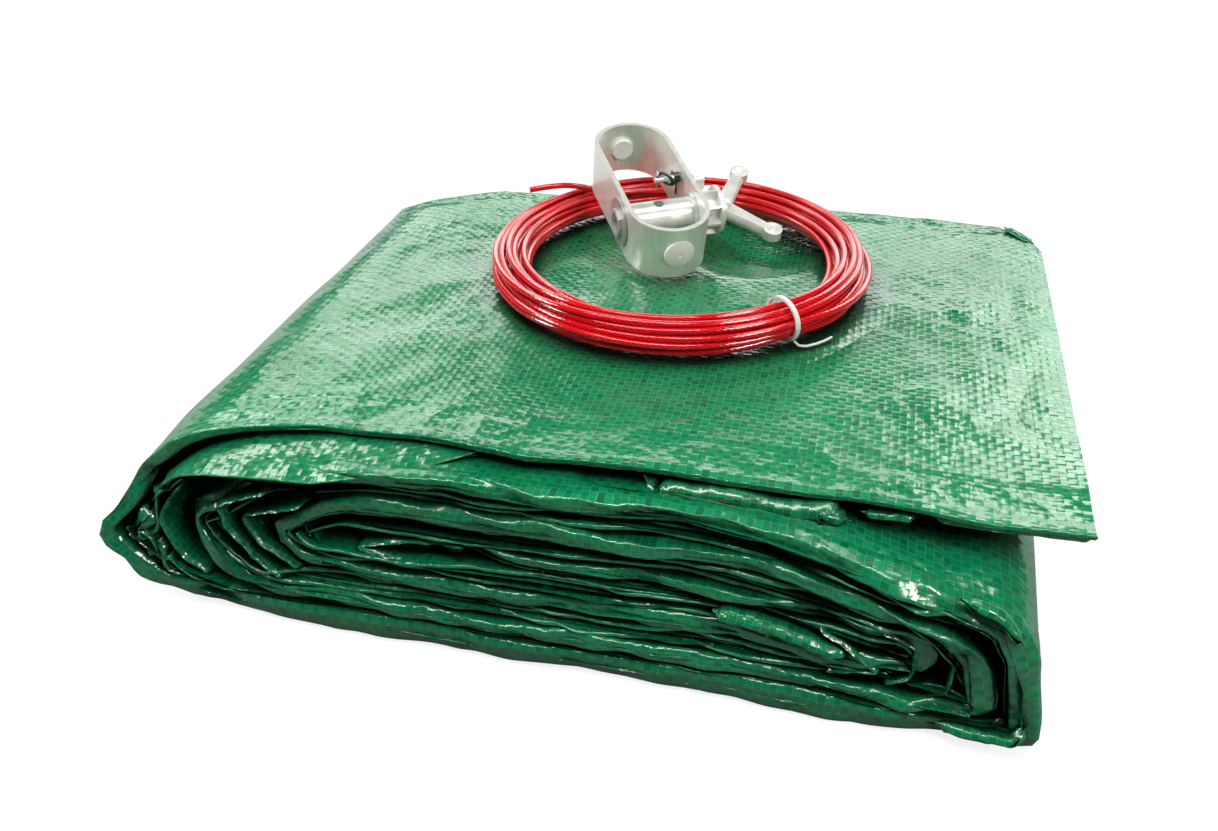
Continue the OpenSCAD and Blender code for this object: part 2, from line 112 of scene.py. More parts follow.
def ease(x, start, end):
    """0 before start and 1 after end, with a smooth step between."""
    t = np.clip((x - start) / (end - start), 0, 1)
    return t * t * (3 - 2 * t)


def unit(vectors):
    return vectors / np.linalg.norm(vectors, axis=-1, keepdims=True)


def summed(steps):
    """Running sum of steps, 0 before the first."""
    return np.concatenate([[0], np.cumsum(steps)])


def run_of(line):
    """Running length at each point of a line."""
    return summed(np.linalg.norm(np.diff(line, axis=0), axis=1))


def points_at(places, marks, line):
    """Points of a line at places between the marks of its own points."""
    return np.stack([np.interp(places, marks, line[:, k]) for k in range(line.shape[1])], axis=1)


def relaxed(line, times):
    """A line whose inner points are drawn halfway to the middle of their neighbours, a few times over."""
    line = line.copy()
    for _ in range(times):
        line[1:-1] = 0.5 * line[1:-1] + 0.25 * (line[:-2] + line[2:])
    return line


def grid_faces(columns, rows, first=0):
    """Four-cornered faces of a grid whose points are stored column by column."""
    c, r = np.meshgrid(np.arange(columns - 1), np.arange(rows - 1), indexing="ij")
    a = (first + c * rows + r).ravel()
    return np.stack([a, a + rows, a + rows + 1, a + 1], axis=1)


def mesh_piece(name, points, faces, uvs, material, body, slot):
    """A smooth mesh piece from points in millimetres, its faces and one UV for each point."""
    mesh = bpy.data.meshes.new(name)
    mesh.vertices.add(len(points))
    mesh.vertices.foreach_set("co", (np.asarray(points) * MM).ravel())
    mesh.loops.add(faces.size)
    mesh.loops.foreach_set("vertex_index", faces.ravel())
    mesh.polygons.add(len(faces))
    mesh.polygons.foreach_set("loop_start", np.arange(len(faces)) * faces.shape[1])
    mesh.polygons.foreach_set("use_smooth", np.ones(len(faces), bool))
    mesh.update(calc_edges=True)
    layer = mesh.uv_layers.new(name="cloth")
    layer.data.foreach_set("uv", (uvs[faces.ravel()] * MM).ravel())
    mesh.materials.append(material)
    piece = bpy.data.objects.new(name, mesh)
    bpy.context.collection.objects.link(piece)
    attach(piece, body)
    return piece


# ---------------------------------------------------------------- material helpers
class Nodes:
    """Adds nodes to a tree and joins them."""

    def __init__(self, tree):
        self.tree = tree

    def add(self, kind, inputs=None, **settings):
        node = self.tree.nodes.new(kind)
        for key, value in settings.items():
            setattr(node, key, value)
        for key, value in (inputs or {}).items():
            self.feed(node.inputs[key], value)
        return node

    def feed(self, socket, value):
        if isinstance(value, bpy.types.NodeSocket):
            self.tree.links.new(value, socket)
        else:
            socket.default_value = value

    def math(self, operation, a, b=0.0):
        return self.add("ShaderNodeMath", {0: a, 1: b}, operation=operation).outputs[0]

    def times(self, a, b):
        return self.math("MULTIPLY", a, b)

    def plus(self, a, b):
        return self.math("ADD", a, b)

    def vector(self, operation, a, b=(0, 0, 0)):
        return self.add("ShaderNodeVectorMath", {0: a, 1: b}, operation=operation).outputs[0]

    def axes(self, vector):
        return self.add("ShaderNodeSeparateXYZ", {0: vector}).outputs

    def mix(self, share, a, b):
        node = self.add("ShaderNodeMix", data_type="RGBA")
        self.feed(node.inputs[0], share)
        self.feed(node.inputs[6], a)
        self.feed(node.inputs[7], b)
        return node.outputs[2]

    def ramp(self, value, low, high, to_low=0.0, to_high=1.0):
        return self.add("ShaderNodeMapRange", {0: value, 1: low, 2: high, 3: to_low, 4: to_high}).outputs[0]

    def bump(self, height, distance, strength=1.0, under=None):
        inputs = {"Height": height, "Distance": distance, "Strength": strength}
        if under is not None:
            inputs["Normal"] = under
        return self.add("ShaderNodeBump", inputs).outputs[0]

    def noise(self, vector, scale, detail=2.0, roughness=0.5):
        inputs = {"Vector": vector, "Scale": scale, "Detail": detail, "Roughness": roughness}
        return self.add("ShaderNodeTexNoise", inputs).outputs[0]

    def cells(self, vector, scale):
        return self.add("ShaderNodeTexVoronoi", {"Vector": vector, "Scale": scale}).outputs["Distance"]

    def group(self, tree, **inputs):
        node = self.add("ShaderNodeGroup", node_tree=tree)
        for key, value in inputs.items():
            self.feed(node.inputs[key.replace("_", " ")], value)
        return node.outputs


class Maker(Nodes):
    """The nodes of a new material."""

    def __init__(self, name):
        self.material = bpy.data.materials.new(name)
        self.material.use_nodes = True
        super().__init__(self.material.node_tree)
        self.shader = self.tree.nodes["Principled BSDF"]

    def set(self, **sockets):
        for key, value in sockets.items():
            self.feed(self.shader.inputs[key.replace("_", " ")], value)


def skin_group():
    """A shader group for a hard skin: patches for its colour and gloss, and the normal of its fine grain."""
    tree = bpy.data.node_groups.new("hard skin", "ShaderNodeTree")
    for name, kind in (("Place", "NodeSocketVector"), ("Patch Scale", "NodeSocketFloat"),
                       ("Grain Scale", "NodeSocketFloat"), ("Grain Depth", "NodeSocketFloat")):
        tree.interface.new_socket(name, in_out="INPUT", socket_type=kind)
    for name, kind in (("Patches", "NodeSocketFloat"), ("Normal", "NodeSocketVector")):
        tree.interface.new_socket(name, in_out="OUTPUT", socket_type=kind)
    n = Nodes(tree)
    given = n.add("NodeGroupInput").outputs
    grain = n.noise(given["Place"], given["Grain Scale"], detail=3.0, roughness=0.65)
    patches = n.ramp(n.noise(given["Place"], given["Patch Scale"], detail=3.0), *MIDDLE)
    normal = n.bump(grain, given["Grain Depth"], strength=0.6)
    n.add("NodeGroupOutput", {"Patches": patches, "Normal": normal})
    return tree


# ---------------------------------------------------------------- materials
MIDDLE = (0.3, 0.7)          # the part of a noise's range in which nearly all of it lies

# The cover's two greens, then the colours laid over them, each with the share that shows.
DEEP_GREEN, FRESH_GREEN = (0.0, 0.175, 0.064, 1), (0.001, 0.26, 0.096, 1)
LOWER_TAPE, LOWER_SHARE = (0.0, 0.08, 0.036, 1), 0.4     # every other crossing
DARK_TAPE, DARK_SHARE = (0.0, 0.055, 0.028, 1), 0.45     # a few tapes, picked by chance
DARK_CHANCE = (0.7, 0.8)
PALE_TAPE, PALE_SHARE = (0.003, 0.27, 0.1, 1), 0.2
TAPE_LINE, LINE_SHARE, FAINT_LINE = (0.14, 0.58, 0.25, 1), 0.55, 0.25
LINE_WIDTH = (0.43, 0.49)    # where the line between two tapes starts and is full, as a share of a tape
# painted shade: a near black laid over the cloth in its folds and crevices, and how far ambient occlusion
# looks for them
FOLD_SHADE, SHADE_REACH = (0.0, 0.006, 0.0025, 1), 20 * MM
OPEN_AIR = (0.3, 0.95)       # how open the cloth lies where the painted fold shade is darkest and where it stops darkening
TAPE_TILT = 0.3              # most that a tape tilts from crossing to crossing
TAPE_BOW, CROSSING_RISE = 1.8, 0.3
TAPE_RELIEF = 0.17 * MM
RUMPLE = (0.15, 0.65)        # how strong the creases are where the cloth lies smooth and where it is rumpled
RUMPLED = (0.38, 0.6)        # the noise where the cloth is smooth and where it is rumpled
CREASE_SCALE, SMALL_CREASE_SCALE, SMALL_CREASE_SHARE = 75.0, 190.0, 0.35
CREASE_RELIEF = 2.2 * MM
LIP_EDGE, LIP_CALM, LIP_END = 0.03, 0.05, 0.055          # distances from a lip, as shares of a ply's width
COVER_ROUGHNESS = (0.15, 0.26)

VINYL_SHADE, VINYL_RED = (0.45, 0.0, 0.003, 1), (0.85, 0.004, 0.012, 1)
STRANDS = 6
STRAND_LAY = 18.0            # length in which a strand goes once round the core
STRAND_RELIEF = 0.03 * MM
STRAND_SHADE = (-1, 0.6)     # from the gap between two strands up to where the red is full
GLOSS_SPREAD = (-0.02, 0.05)             # how a hard skin's roughness drifts from patch to patch


class Weave(Maker):
    """The cover's material: a chequer of tapes, each a little tilted, with fine pale lines between them."""

    def __init__(self):
        super().__init__("woven cover")
        uv = self.add("ShaderNodeUVMap", uv_map="cloth").outputs[0]
        self.place = self.add("ShaderNodeTexCoord").outputs["Object"]
        tapes = self.vector("MULTIPLY", uv, (1 / (TAPE * MM),) * 3)
        lifted = self.vector("ADD", tapes, (0, 0, 0.5))
        self.chequer = self.add("ShaderNodeTexChecker", {"Vector": lifted, "Scale": 1.0}).outputs["Fac"]
        cell = self.vector("FLOOR", tapes)
        chance = self.add("ShaderNodeTexWhiteNoise", {"Vector": cell}, noise_dimensions="2D").outputs["Color"]
        self.chances = self.add("ShaderNodeSeparateColor", {0: chance}).outputs
        self.inside = self.axes(self.vector("FRACTION", tapes))
        self.across = self.math("ABSOLUTE", self.math("SUBTRACT", self.inside[0], 0.5))
        self.along = self.math("ABSOLUTE", self.math("SUBTRACT", self.inside[1], 0.5))
        widths = self.math("FRACT", self.times(self.axes(uv)["Y"], 1 / (PANEL_LENGTH * MM)))
        self.from_lip = self.math("SUBTRACT", 0.5, self.math("ABSOLUTE", self.math("SUBTRACT", widths, 0.5)))
        self.set(Base_Color=self.colour(), Normal=self.relief())
        self.set(Roughness=self.ramp(self.noise(self.place, scale=30.0), *MIDDLE, *COVER_ROUGHNESS))
        self.set(Specular_IOR_Level=0.95, Specular_Tint=(0.92, 1.0, 0.85, 1))

    def colour(self):
        """Greens in broad patches, darker and paler tapes, lines fainter on lips, and painted shade in the
        folds, darkest where the cloth is most hemmed in.
        """
        line_x = self.times(self.ramp(self.across, *LINE_WIDTH), self.ramp(self.chequer, 0, 1, FAINT_LINE, 1))
        line_y = self.times(self.ramp(self.along, *LINE_WIDTH), self.ramp(self.chequer, 0, 1, 1, FAINT_LINE))
        line = self.math("MAXIMUM", line_x, line_y)
        off_lip = self.ramp(self.from_lip, LIP_EDGE, LIP_CALM, 0.5, 1.0)
        broad = self.ramp(self.noise(self.place, scale=9.0, detail=3.0), *MIDDLE)
        green = self.mix(broad, DEEP_GREEN, FRESH_GREEN)
        green = self.mix(self.times(self.chequer, LOWER_SHARE), green, LOWER_TAPE)
        dark = self.times(self.ramp(self.chances[2], *DARK_CHANCE, 0.0, DARK_SHARE), off_lip)
        green = self.mix(dark, green, DARK_TAPE)
        green = self.mix(self.times(self.chances[0], PALE_SHARE), green, PALE_TAPE)
        green = self.mix(self.times(line, self.times(off_lip, LINE_SHARE)), green, TAPE_LINE)
        # painted shade: the green darkens towards FOLD_SHADE where ambient occlusion finds the cloth hemmed
        # in by folds
        open_air = self.add("ShaderNodeAmbientOcclusion", {"Distance": SHADE_REACH}, samples=8).outputs["AO"]
        return self.mix(self.ramp(open_air, *OPEN_AIR), FOLD_SHADE, green)

    def relief(self):
        """The bow and the tilt of the tapes, and creases where the cloth is rumpled or turns in a lip."""
        tilt_x = self.times(self.inside[0], self.ramp(self.chances[0], 0, 1, -TAPE_TILT, TAPE_TILT))
        tilt_y = self.times(self.inside[1], self.ramp(self.chances[1], 0, 1, -TAPE_TILT, TAPE_TILT))
        bow_x = self.times(self.times(self.across, self.across), self.math("SUBTRACT", 1.0, self.chequer))
        bow_y = self.times(self.times(self.along, self.along), self.chequer)
        pillow = self.times(self.plus(bow_x, bow_y), -TAPE_BOW)
        crossing = self.times(self.chequer, CROSSING_RISE)
        weave = self.bump(self.plus(self.plus(tilt_x, tilt_y), self.plus(pillow, crossing)), TAPE_RELIEF)
        rumpled = self.ramp(self.noise(self.place, scale=13.0), *RUMPLED, *RUMPLE)
        rumpled = self.math("MAXIMUM", rumpled, self.ramp(self.from_lip, LIP_END, LIP_EDGE))
        small = self.times(self.cells(self.place, SMALL_CREASE_SCALE), SMALL_CREASE_SHARE)
        creases = self.plus(self.cells(self.place, CREASE_SCALE), small)
        return self.bump(self.times(creases, rumpled), CREASE_RELIEF, strength=0.5, under=weave)


def coated_cable():
    """Clear red vinyl over a twisted steel core, whose strands show through as slanting lines."""
    m = Maker("coated cable")
    axes = m.axes(m.add("ShaderNodeUVMap", uv_map="cloth").outputs[0])
    lay = m.times(axes[0], FULL_TURN * STRANDS / (STRAND_LAY * MM))
    turn = m.times(axes[1], FULL_TURN * STRANDS / (CABLE_D * math.pi * MM))
    strand = m.math("SINE", m.plus(lay, turn))
    red = m.mix(m.ramp(strand, *STRAND_SHADE), VINYL_SHADE, VINYL_RED)
    m.set(Base_Color=red, Roughness=0.12, Specular_IOR_Level=0.8, Coat_Weight=0.5, Coat_Roughness=0.03)
    m.set(Normal=m.bump(strand, STRAND_RELIEF, strength=0.5))
    return m.material


def hard_skin(name, dark, pale, metallic, roughness, scales, grain_depth, stretch=(1, 1, 1), turn=0.0):
    """Metal or plastic whose colour and gloss drift in patches, with a fine grain.

    The scales are those of its patches and of its grain, and the depth of the grain is in millimetres.
    """
    m = Maker(name)
    place = m.add("ShaderNodeTexCoord").outputs["Object"]
    mapping = {"Vector": place, "Rotation": (0, 0, turn), "Scale": stretch}
    turned = m.add("ShaderNodeMapping", mapping).outputs[0]
    patch_scale, grain_scale = scales
    skin = m.group(SKIN, Place=turned, Patch_Scale=patch_scale, Grain_Scale=grain_scale,
                   Grain_Depth=grain_depth * MM)
    m.set(Base_Color=m.mix(skin["Patches"], (*dark, 1), (*pale, 1)), Metallic=metallic, Normal=skin["Normal"])
    m.set(Roughness=m.ramp(skin["Patches"], 0, 1, *(roughness + drift for drift in GLOSS_SPREAD)))
    return m.material


# ---------------------------------------------------------------- stage
LENS, SENSOR = 31.63, 36
CAMERA_PLACE = (0.109, -0.451, 0.331)
CAMERA_TURN, CAMERA_DROP, CAMERA_ROLL = (math.radians(angle) for angle in (14.63, 33.25, -0.81))
FLOOR_SIZE, FLOOR_Z = 8, -0.0006
SEEN_WHITE, OTHER_GREY = (0.9, 0.9, 0.9, 1), (0.2, 0.2, 0.2, 1)
PLAIN_WHITE = 1.12
# How plain the ground is near the pack and far from it, and how brightly it glows in glossy reflections
# before and behind the pack, as painted light falling behind it.
PLAIN_FROM, PLAIN_SHARE = (0.3, 0.9), (0.74, 1.0)
MIRRORED_FROM, MIRRORED_SHARE = (-0.2, 0.4), (0.0, 0.7)
DOME_LIGHT = (0.04, 0.11)    # the world's light from its dimmest to its brightest side
DOME_BEHIND, DOME_ABOVE = (-0.7, 0.6), (-0.1, 0.6, 0.2, 1.0)     # where it grows, and from what share
# Each lamp's place, the point that it faces, its width and height, and its power.
LAMPS = [
    ("back low", (0, 1.3, 0.55), (0, 0, 0.08), (2.2, 0.34), 7.5),
    ("back left", (-0.85, 1.05, 0.9), (0, 0, 0.08), (0.5, 0.5), 2.0),
    ("back right", (0.55, 1.2, 0.95), (0.1, 0, 0.08), (0.45, 0.35), 3.2),
    ("left high", (-0.9, 0.45, 0.95), (-0.1, -0.1, 0.08), (0.45, 0.3), 3.6),
    ("right high", (0.5, 0.2, 1.3), (0.05, 0, 0.08), (0.6, 0.3), 3.4),
    ("front high", (-0.15, -0.4, 1.3), (0, 0, 0.05), (1.1, 0.1), 9.0),
    ("front right", (0.9, -0.6, 0.8), (0, 0, 0.05), (0.5, 0.12), 7.0),
    ("left", (-1.05, -0.3, 0.6), (0, 0, 0.08), (0.3, 0.3), 6.0)]


def make_floor():
    """White ground: the camera sees mostly plain white with the pack's shadow, other rays a dim ground,
    except that glossy rays see it glow white behind the pack, a painted reflection of light falling there.
    """
    bpy.ops.object.select_all(action="DESELECT")
    bpy.ops.mesh.primitive_plane_add(size=FLOOR_SIZE, location=(0, 0, FLOOR_Z))
    floor = bpy.context.object
    floor.name = "floor"
    m = Maker("white ground")
    path = m.add("ShaderNodeLightPath").outputs
    seen = path["Is Camera Ray"]
    m.set(Base_Color=m.mix(seen, OTHER_GREY, SEEN_WHITE), Roughness=0.9)
    white = m.add("ShaderNodeEmission", {"Color": (1, 1, 1, 1), "Strength": PLAIN_WHITE}).outputs[0]
    place = m.add("ShaderNodeTexCoord").outputs["Object"]
    from_middle = m.add("ShaderNodeVectorMath", {0: place}, operation="LENGTH").outputs["Value"]
    plain = m.times(seen, m.ramp(from_middle, *PLAIN_FROM, *PLAIN_SHARE))
    # painted reflection: behind the pack the ground glows white to glossy rays, as if light fell there
    mirrored = m.ramp(m.axes(place)["Y"], *MIRRORED_FROM, *MIRRORED_SHARE)
    plain = m.math("MAXIMUM", plain, m.times(path["Is Glossy Ray"], mirrored))
    mixed = m.add("ShaderNodeMixShader", {0: plain, 1: m.shader.outputs[0], 2: white}).outputs[0]
    m.tree.links.new(mixed, m.tree.nodes["Material Output"].inputs[0])
    floor.data.materials.append(m.material)


def make_world():
    """A dim dome, brighter behind and above, which the camera sees as white."""
    world = bpy.data.worlds.new("studio")
    bpy.context.scene.world = world
    world.use_nodes = True
    n = Nodes(world.node_tree)
    facing = n.axes(n.add("ShaderNodeTexCoord").outputs["Generated"])
    behind = n.ramp(facing["Y"], *DOME_BEHIND)
    above = n.ramp(facing["Z"], *DOME_ABOVE)
    dome = n.ramp(n.times(behind, above), 0, 1, *DOME_LIGHT)
    seen = n.add("ShaderNodeLightPath").outputs["Is Camera Ray"]
    background = world.node_tree.nodes["Background"].inputs
    n.feed(background["Color"], (1, 1, 1, 1))
    n.feed(background["Strength"], n.math("MAXIMUM", dome, seen))


def softbox(name, place, aim, size, power):
    """A lamp with a flat oblong face, turned towards a point."""
    data = bpy.data.lights.new(name, "AREA")
    data.shape = "RECTANGLE"
    data.size, data.size_y = size
    data.energy = power
    lamp = bpy.data.objects.new(name, data)
    bpy.context.collection.objects.link(lamp)
    lamp.location = place
    lamp.rotation_euler = (Vector(aim) - Vector(place)).to_track_quat("-Z", "Y").to_euler()


def make_camera():
    """A camera before the pack and a little to its right, looking down on it."""
    data = bpy.data.cameras.new("camera")
    data.lens = LENS
    data.sensor_width = SENSOR
    camera = bpy.data.objects.new("camera", data)
    bpy.context.collection.objects.link(camera)
    level = math.cos(CAMERA_DROP)
    look = Vector((-math.sin(CAMERA_TURN) * level, math.cos(CAMERA_TURN) * level, -math.sin(CAMERA_DROP)))
    camera.location = CAMERA_PLACE
    camera.rotation_mode = "QUATERNION"
    camera.rotation_quaternion = look.to_track_quat("-Z", "Y") @ Quaternion((0, 0, 1), CAMERA_ROLL)
    bpy.context.scene.camera = camera


# ---------------------------------------------------------------- the cable
# The free end's knots from the coil outwards: X and Y from the coil's centre, Z from TAIL_Z.
TAIL = np.array([[-54, 59, -7.5], [-59.5, 55.5, -4.2], [-66, 52, -1.6], [-74, 48.6, 0], [-83, 45, -0.2],
                 [-93.5, 41, -1.6]])
TAIL_LIFT = 0.3              # of the tail over the bundle
TAIL_Z = TOP_Z + SEAT_GAP + BUNDLE_H + TAIL_LIFT
TAIL_POINTS = 25
JOINT_POINTS = 9             # points of the coil that are relaxed together with the tail
COIL_Z = TOP_Z + SEAT_GAP + BUNDLE_H / 2
SLOT_STEP = CABLE_D * 1.04   # from one turn to the next across the bundle
SLOT_ROWS = 6
ROW_RISE = 0.9               # from one row of turns to the next, as a share of SLOT_STEP
SLOT_LIFT, SLOT_MARGIN = 0.15, 0.6   # how far the slots lie above the bundle's foot and outside its outline
FIRST_SWAP, SWAP_STEP = 2, 3         # which turns change places with the next one
WANDER = (6.0, 4.0)          # how far a turn wanders from its slot, sideways and upwards
WANDERS = 2.2                # how many times in a turn
WANDER_LAYER, WANDER_APART = 7.3, 3.1    # its place in the noise, and how far apart its two directions lie
TIE_WIDTH = 0.16             # angle over which the tie gathers the bundle
TIE_SQUEEZE = (2.6, 1.6)     # by how much it gathers it, sideways and upwards
LOOSE_ANGLE, LOOSE_WIDTH = math.radians(188), 0.75
LOOSE_SPREAD = (1.0, 0.8)    # how much wider and lower the bundle lies there
SETTLE_STEPS, QUICK_STEPS = 260, 90
STIFFNESS, LATE_STIFFNESS, LATE = 0.5, 0.3, 0.8          # how strongly turns straighten, less in late steps
SINK = 0.015                 # how far the turns sink in each step
TOUCH = 1e-6                 # keeps a division by nothing away from points that meet
PUSH, TAIL_PUSH = 0.3, 0.8   # share of an overlap by which a turn, or the tail, pushes a turn away
CABLE_SIDES = 10
CAP_STEP, CAP_R, CAP_BEVEL = 0.01, 0.02, 0.9             # the rings that close each end


def bundle_slots(count):
    """Places for the turns across the bundle, row by row from the bottom, in a loose honeycomb."""
    places = []
    for row in range(SLOT_ROWS):
        z = -BUNDLE_H / 2 + CABLE_D / 2 + SLOT_LIFT + row * SLOT_STEP * ROW_RISE
        half = BUNDLE_W / 2 * math.sqrt(max(0.0, 1 - (z / (BUNDLE_H / 2)) ** 2)) - CABLE_D / 2 + SLOT_MARGIN
        n = max(1, int(2 * half / SLOT_STEP) + 1)
        xs = np.linspace(-half, half, n) if n > 1 else np.array([0.0])
        for x in xs if row % 2 == 0 else xs[::-1]:
            places.append((x, z))
    pick = np.linspace(0, len(places) - 1, count).round().astype(int)
    return np.array(places)[pick]


def tail_from_coil():
    """Angles of the tail's knots round the coil, and their radial and upright offsets from the bundle."""
    angle = np.unwrap(np.arctan2(TAIL[:, 1], TAIL[:, 0]))
    outwards = np.hypot(TAIL[:, 0], TAIL[:, 1]) - COIL_R
    return angle, stacked(outwards, TAIL[:, 2] + TAIL_Z - COIL_Z)


def loose_turns(turn):
    """Offsets of the turns as first laid in their slots: they wander, and some have changed places."""
    order = np.arange(TURNS + 1)
    for i in range(FIRST_SWAP, TURNS - 2, SWAP_STEP):
        order[i], order[i + 1] = order[i + 1], order[i]
    line = points_at(turn, np.arange(TURNS + 1), bundle_slots(TURNS + 1)[order])
    wander = [noise(stacked(turn * WANDERS, WANDER_LAYER, WANDER_APART * k), SEED + k) for k in (0, 1)]
    return line + np.stack(wander, axis=1) * WANDER


def near_angle(angle, middle, width):
    """1 at one angle of the coil, falling away on both sides of it."""
    apart = np.angle(np.exp(1j * (angle - middle)))
    return np.exp(-(apart / width) ** 2)


def settled_turns():
    """Angles of all points, and their radial and upright offsets once the turns have settled."""
    tail_angle, tail = tail_from_coil()
    turn = np.arange(TURNS * TURN_POINTS + 1) / TURN_POINTS
    angle = tail_angle[0] + FULL_TURN * (turn - TURNS)
    line = loose_turns(turn)
    tied = near_angle(angle, TIE_ANGLE, TIE_WIDTH)
    spread = near_angle(angle, LOOSE_ANGLE, LOOSE_WIDTH)
    half_w = BUNDLE_W / 2 - CABLE_D / 2 - TIE_SQUEEZE[0] * tied + LOOSE_SPREAD[0] * spread
    half_h = BUNDLE_H / 2 - CABLE_D / 2 - TIE_SQUEEZE[1] * tied - LOOSE_SPREAD[1] * spread
    by_turn = np.arange(TURNS * TURN_POINTS).reshape(TURNS, TURN_POINTS)
    here = np.mod(angle[:TURN_POINTS], FULL_TURN)
    beside_tail = (here >= tail_angle[0]) & (here <= tail_angle[-1])
    tail_here = points_at(here, tail_angle, tail)
    steps = SETTLE_STEPS
    for step in range(steps):
        smooth = 0.5 * (line[:-2] + line[2:])
        line[1:-1] += (STIFFNESS if step < steps * LATE else LATE_STIFFNESS) * (smooth - line[1:-1])
        line[:, 1] -= SINK
        for _ in range(2):
            line[:-1] = pushed_apart(line[by_turn], beside_tail, tail_here).reshape(-1, 2)
        line /= np.maximum(np.hypot(line[:, 0] / half_w, line[:, 1] / half_h), 1)[:, None]
        line[:, 1] = np.maximum(line[:, 1], -BUNDLE_H / 2 + CABLE_D / 2)
        line[-1] = tail[0]
    return angle, line


def pushed_apart(turns, beside_tail, tail_here):
    """Offsets by turn and angle, once overlapping turns have moved off each other and off the tail."""
    gap = turns[:, None] - turns[None]
    away = np.linalg.norm(gap, axis=-1)[..., None] + TOUCH
    close = (away < CABLE_D) & (away > 10 * TOUCH)
    turns = turns + np.where(close, gap / away * (CABLE_D - away) * PUSH, 0).sum(axis=1)
    gap = turns - tail_here
    away = np.linalg.norm(gap, axis=-1)[..., None] + TOUCH
    close = beside_tail[None, :, None] & (away < CABLE_D)
    return turns + np.where(close, gap / away * (CABLE_D - away) * TAIL_PUSH, 0)


def cable_points():
    """The cable's centreline, from its inner end round all the turns to its free end."""
    angle, line = settled_turns()
    r = COIL_R + line[:, 0]
    x, y = COIL_CENTRE[0] + r * np.cos(angle), COIL_CENTRE[1] + r * np.sin(angle)
    coil = stacked(x, y, COIL_Z + line[:, 1])
    knots = TAIL + (*COIL_CENTRE, TAIL_Z)
    places = np.linspace(0, len(knots) - 1, TAIL_POINTS + 1)[1:]
    whole = np.concatenate([coil, points_at(places, np.arange(len(knots)), knots)])
    joint = len(coil) - JOINT_POINTS
    whole[joint:] = relaxed(whole[joint:], 4)
    return whole


def tube(points, radius, sides):
    """Points, faces and UVs of a tube along points; its UVs run along it and round it, in millimetres."""
    ahead = unit(np.gradient(points, axis=0))
    side = unit(np.cross(ahead, (0, 0, 1.0)))
    up = np.cross(side, ahead)
    turn = np.linspace(0, FULL_TURN, sides + 1)
    ring = np.cos(turn)[None, :, None] * side[:, None] + np.sin(turn)[None, :, None] * up[:, None]
    rings = points[:, None] + radius[:, None, None] * ring
    uv = stacked(run_of(points)[:, None], turn[None] * CABLE_D / 2)
    return rings.reshape(-1, 3), grid_faces(len(points), sides + 1), uv.reshape(-1, 2)


def make_cable():
    """The whole cable as one tube with closed ends, in place of the coil and its free end."""
    points = cable_points()
    start, end = unit(points[0] - points[1]), unit(points[-1] - points[-2])
    line = np.concatenate([[points[0] + start * 2 * CAP_STEP, points[0] + start * CAP_STEP], points,
                           [points[-1] + end * CAP_STEP, points[-1] + end * 2 * CAP_STEP]])
    radius = np.full(len(line), CABLE_D / 2)
    radius[[0, -1]] = CAP_R
    radius[[1, -2]] = CABLE_D / 2 * CAP_BEVEL
    cable = mesh_piece("cable", *tube(line, radius, CABLE_SIDES), coated_cable(), "cable", "red_vinyl")
    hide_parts("cable_coil", "cable_tail")


# ---------------------------------------------------------------- the folded cover
FLAP_EDGE = (202, 85.8)
# The strip's corners seen from the front and how far each is rounded off: for each winding, a line for its
# top and left end and one for its bottom and right end.
WINDINGS = [
    (70, 84.4, 20), (-150, 84, 12), (-172, 68, 10), (-193, 38, 4), (-177, 14, 8),
    (-150, 7.2, 10), (190, 7.2, 6), (183, 56, 4), (176, 69, 5),
    (163, 73.2, 10), (-118, 72, 12), (-152, 50, 4), (-145, 34, 8),
    (-128, 21.3, 10), (174, 21.3, 7), (168, 44, 8), (156, 57, 8),
    (136, 59.3, 10), (-88, 58, 12), (-114, 47, 4), (-104, 38, 6),
    (-86, 35.2, 8), (150, 35.2, 6), (147, 46, 5)]
STRIP_END = (-84, 46.4)
MOST_ROUNDED = 0.45          # of a side, at either end
CORNER_POINTS = 9
TOP_LEFT_X, LEFT_END_X = -150, -190

# The level of every leg of the pleated cloth, 0 being outermost: the cloth runs from its back fold to its
# front fold, then back again.
LEGS = list(range(1, BIG_LIP_PLIES)) + [0, 27, 24, 23, 20, 19, 16, 17, 18, 21, 22, 25, 26]
BIG_LIP = 14                 # the leg before the turn that makes the big lip at the front
FIRST_THIN_LIP, SECOND_THIN_LIP, THIRD_THIN_LIP = 20, 18, 16
BACK_LIP = 15
LIP_REACH = 34.0             # how far back the finely made part of a thick lip reaches
LIP_SPREAD = 1.3             # how much thicker than its plies a thick lip is on average
LONG_ROWS, SHORT_ROWS = (1, 0.8, 0.6, 0.42, 0.28, 0.16, 0.06), (1, 0.6, 0.3, 0.1)
BACK_ROWS = (1.3, 0.5, 0.15)
# The lips that show at the front: the leg before each, how far back it is finely made, and its rows as shares
# of that.
FRONT_LIPS = [(BIG_LIP, LIP_REACH, LONG_ROWS), (FIRST_THIN_LIP, 40, LONG_ROWS),
              (SECOND_THIN_LIP, 22, SHORT_ROWS), (THIRD_THIN_LIP, 18, SHORT_ROWS)]
LIP_RECESS = {BIG_LIP: 0.0, FIRST_THIN_LIP: -1.0, SECOND_THIN_LIP: 2.0, THIRD_THIN_LIP: -0.5}
HIDDEN_RECESS = 5.0          # how far back the lips lie that don't show
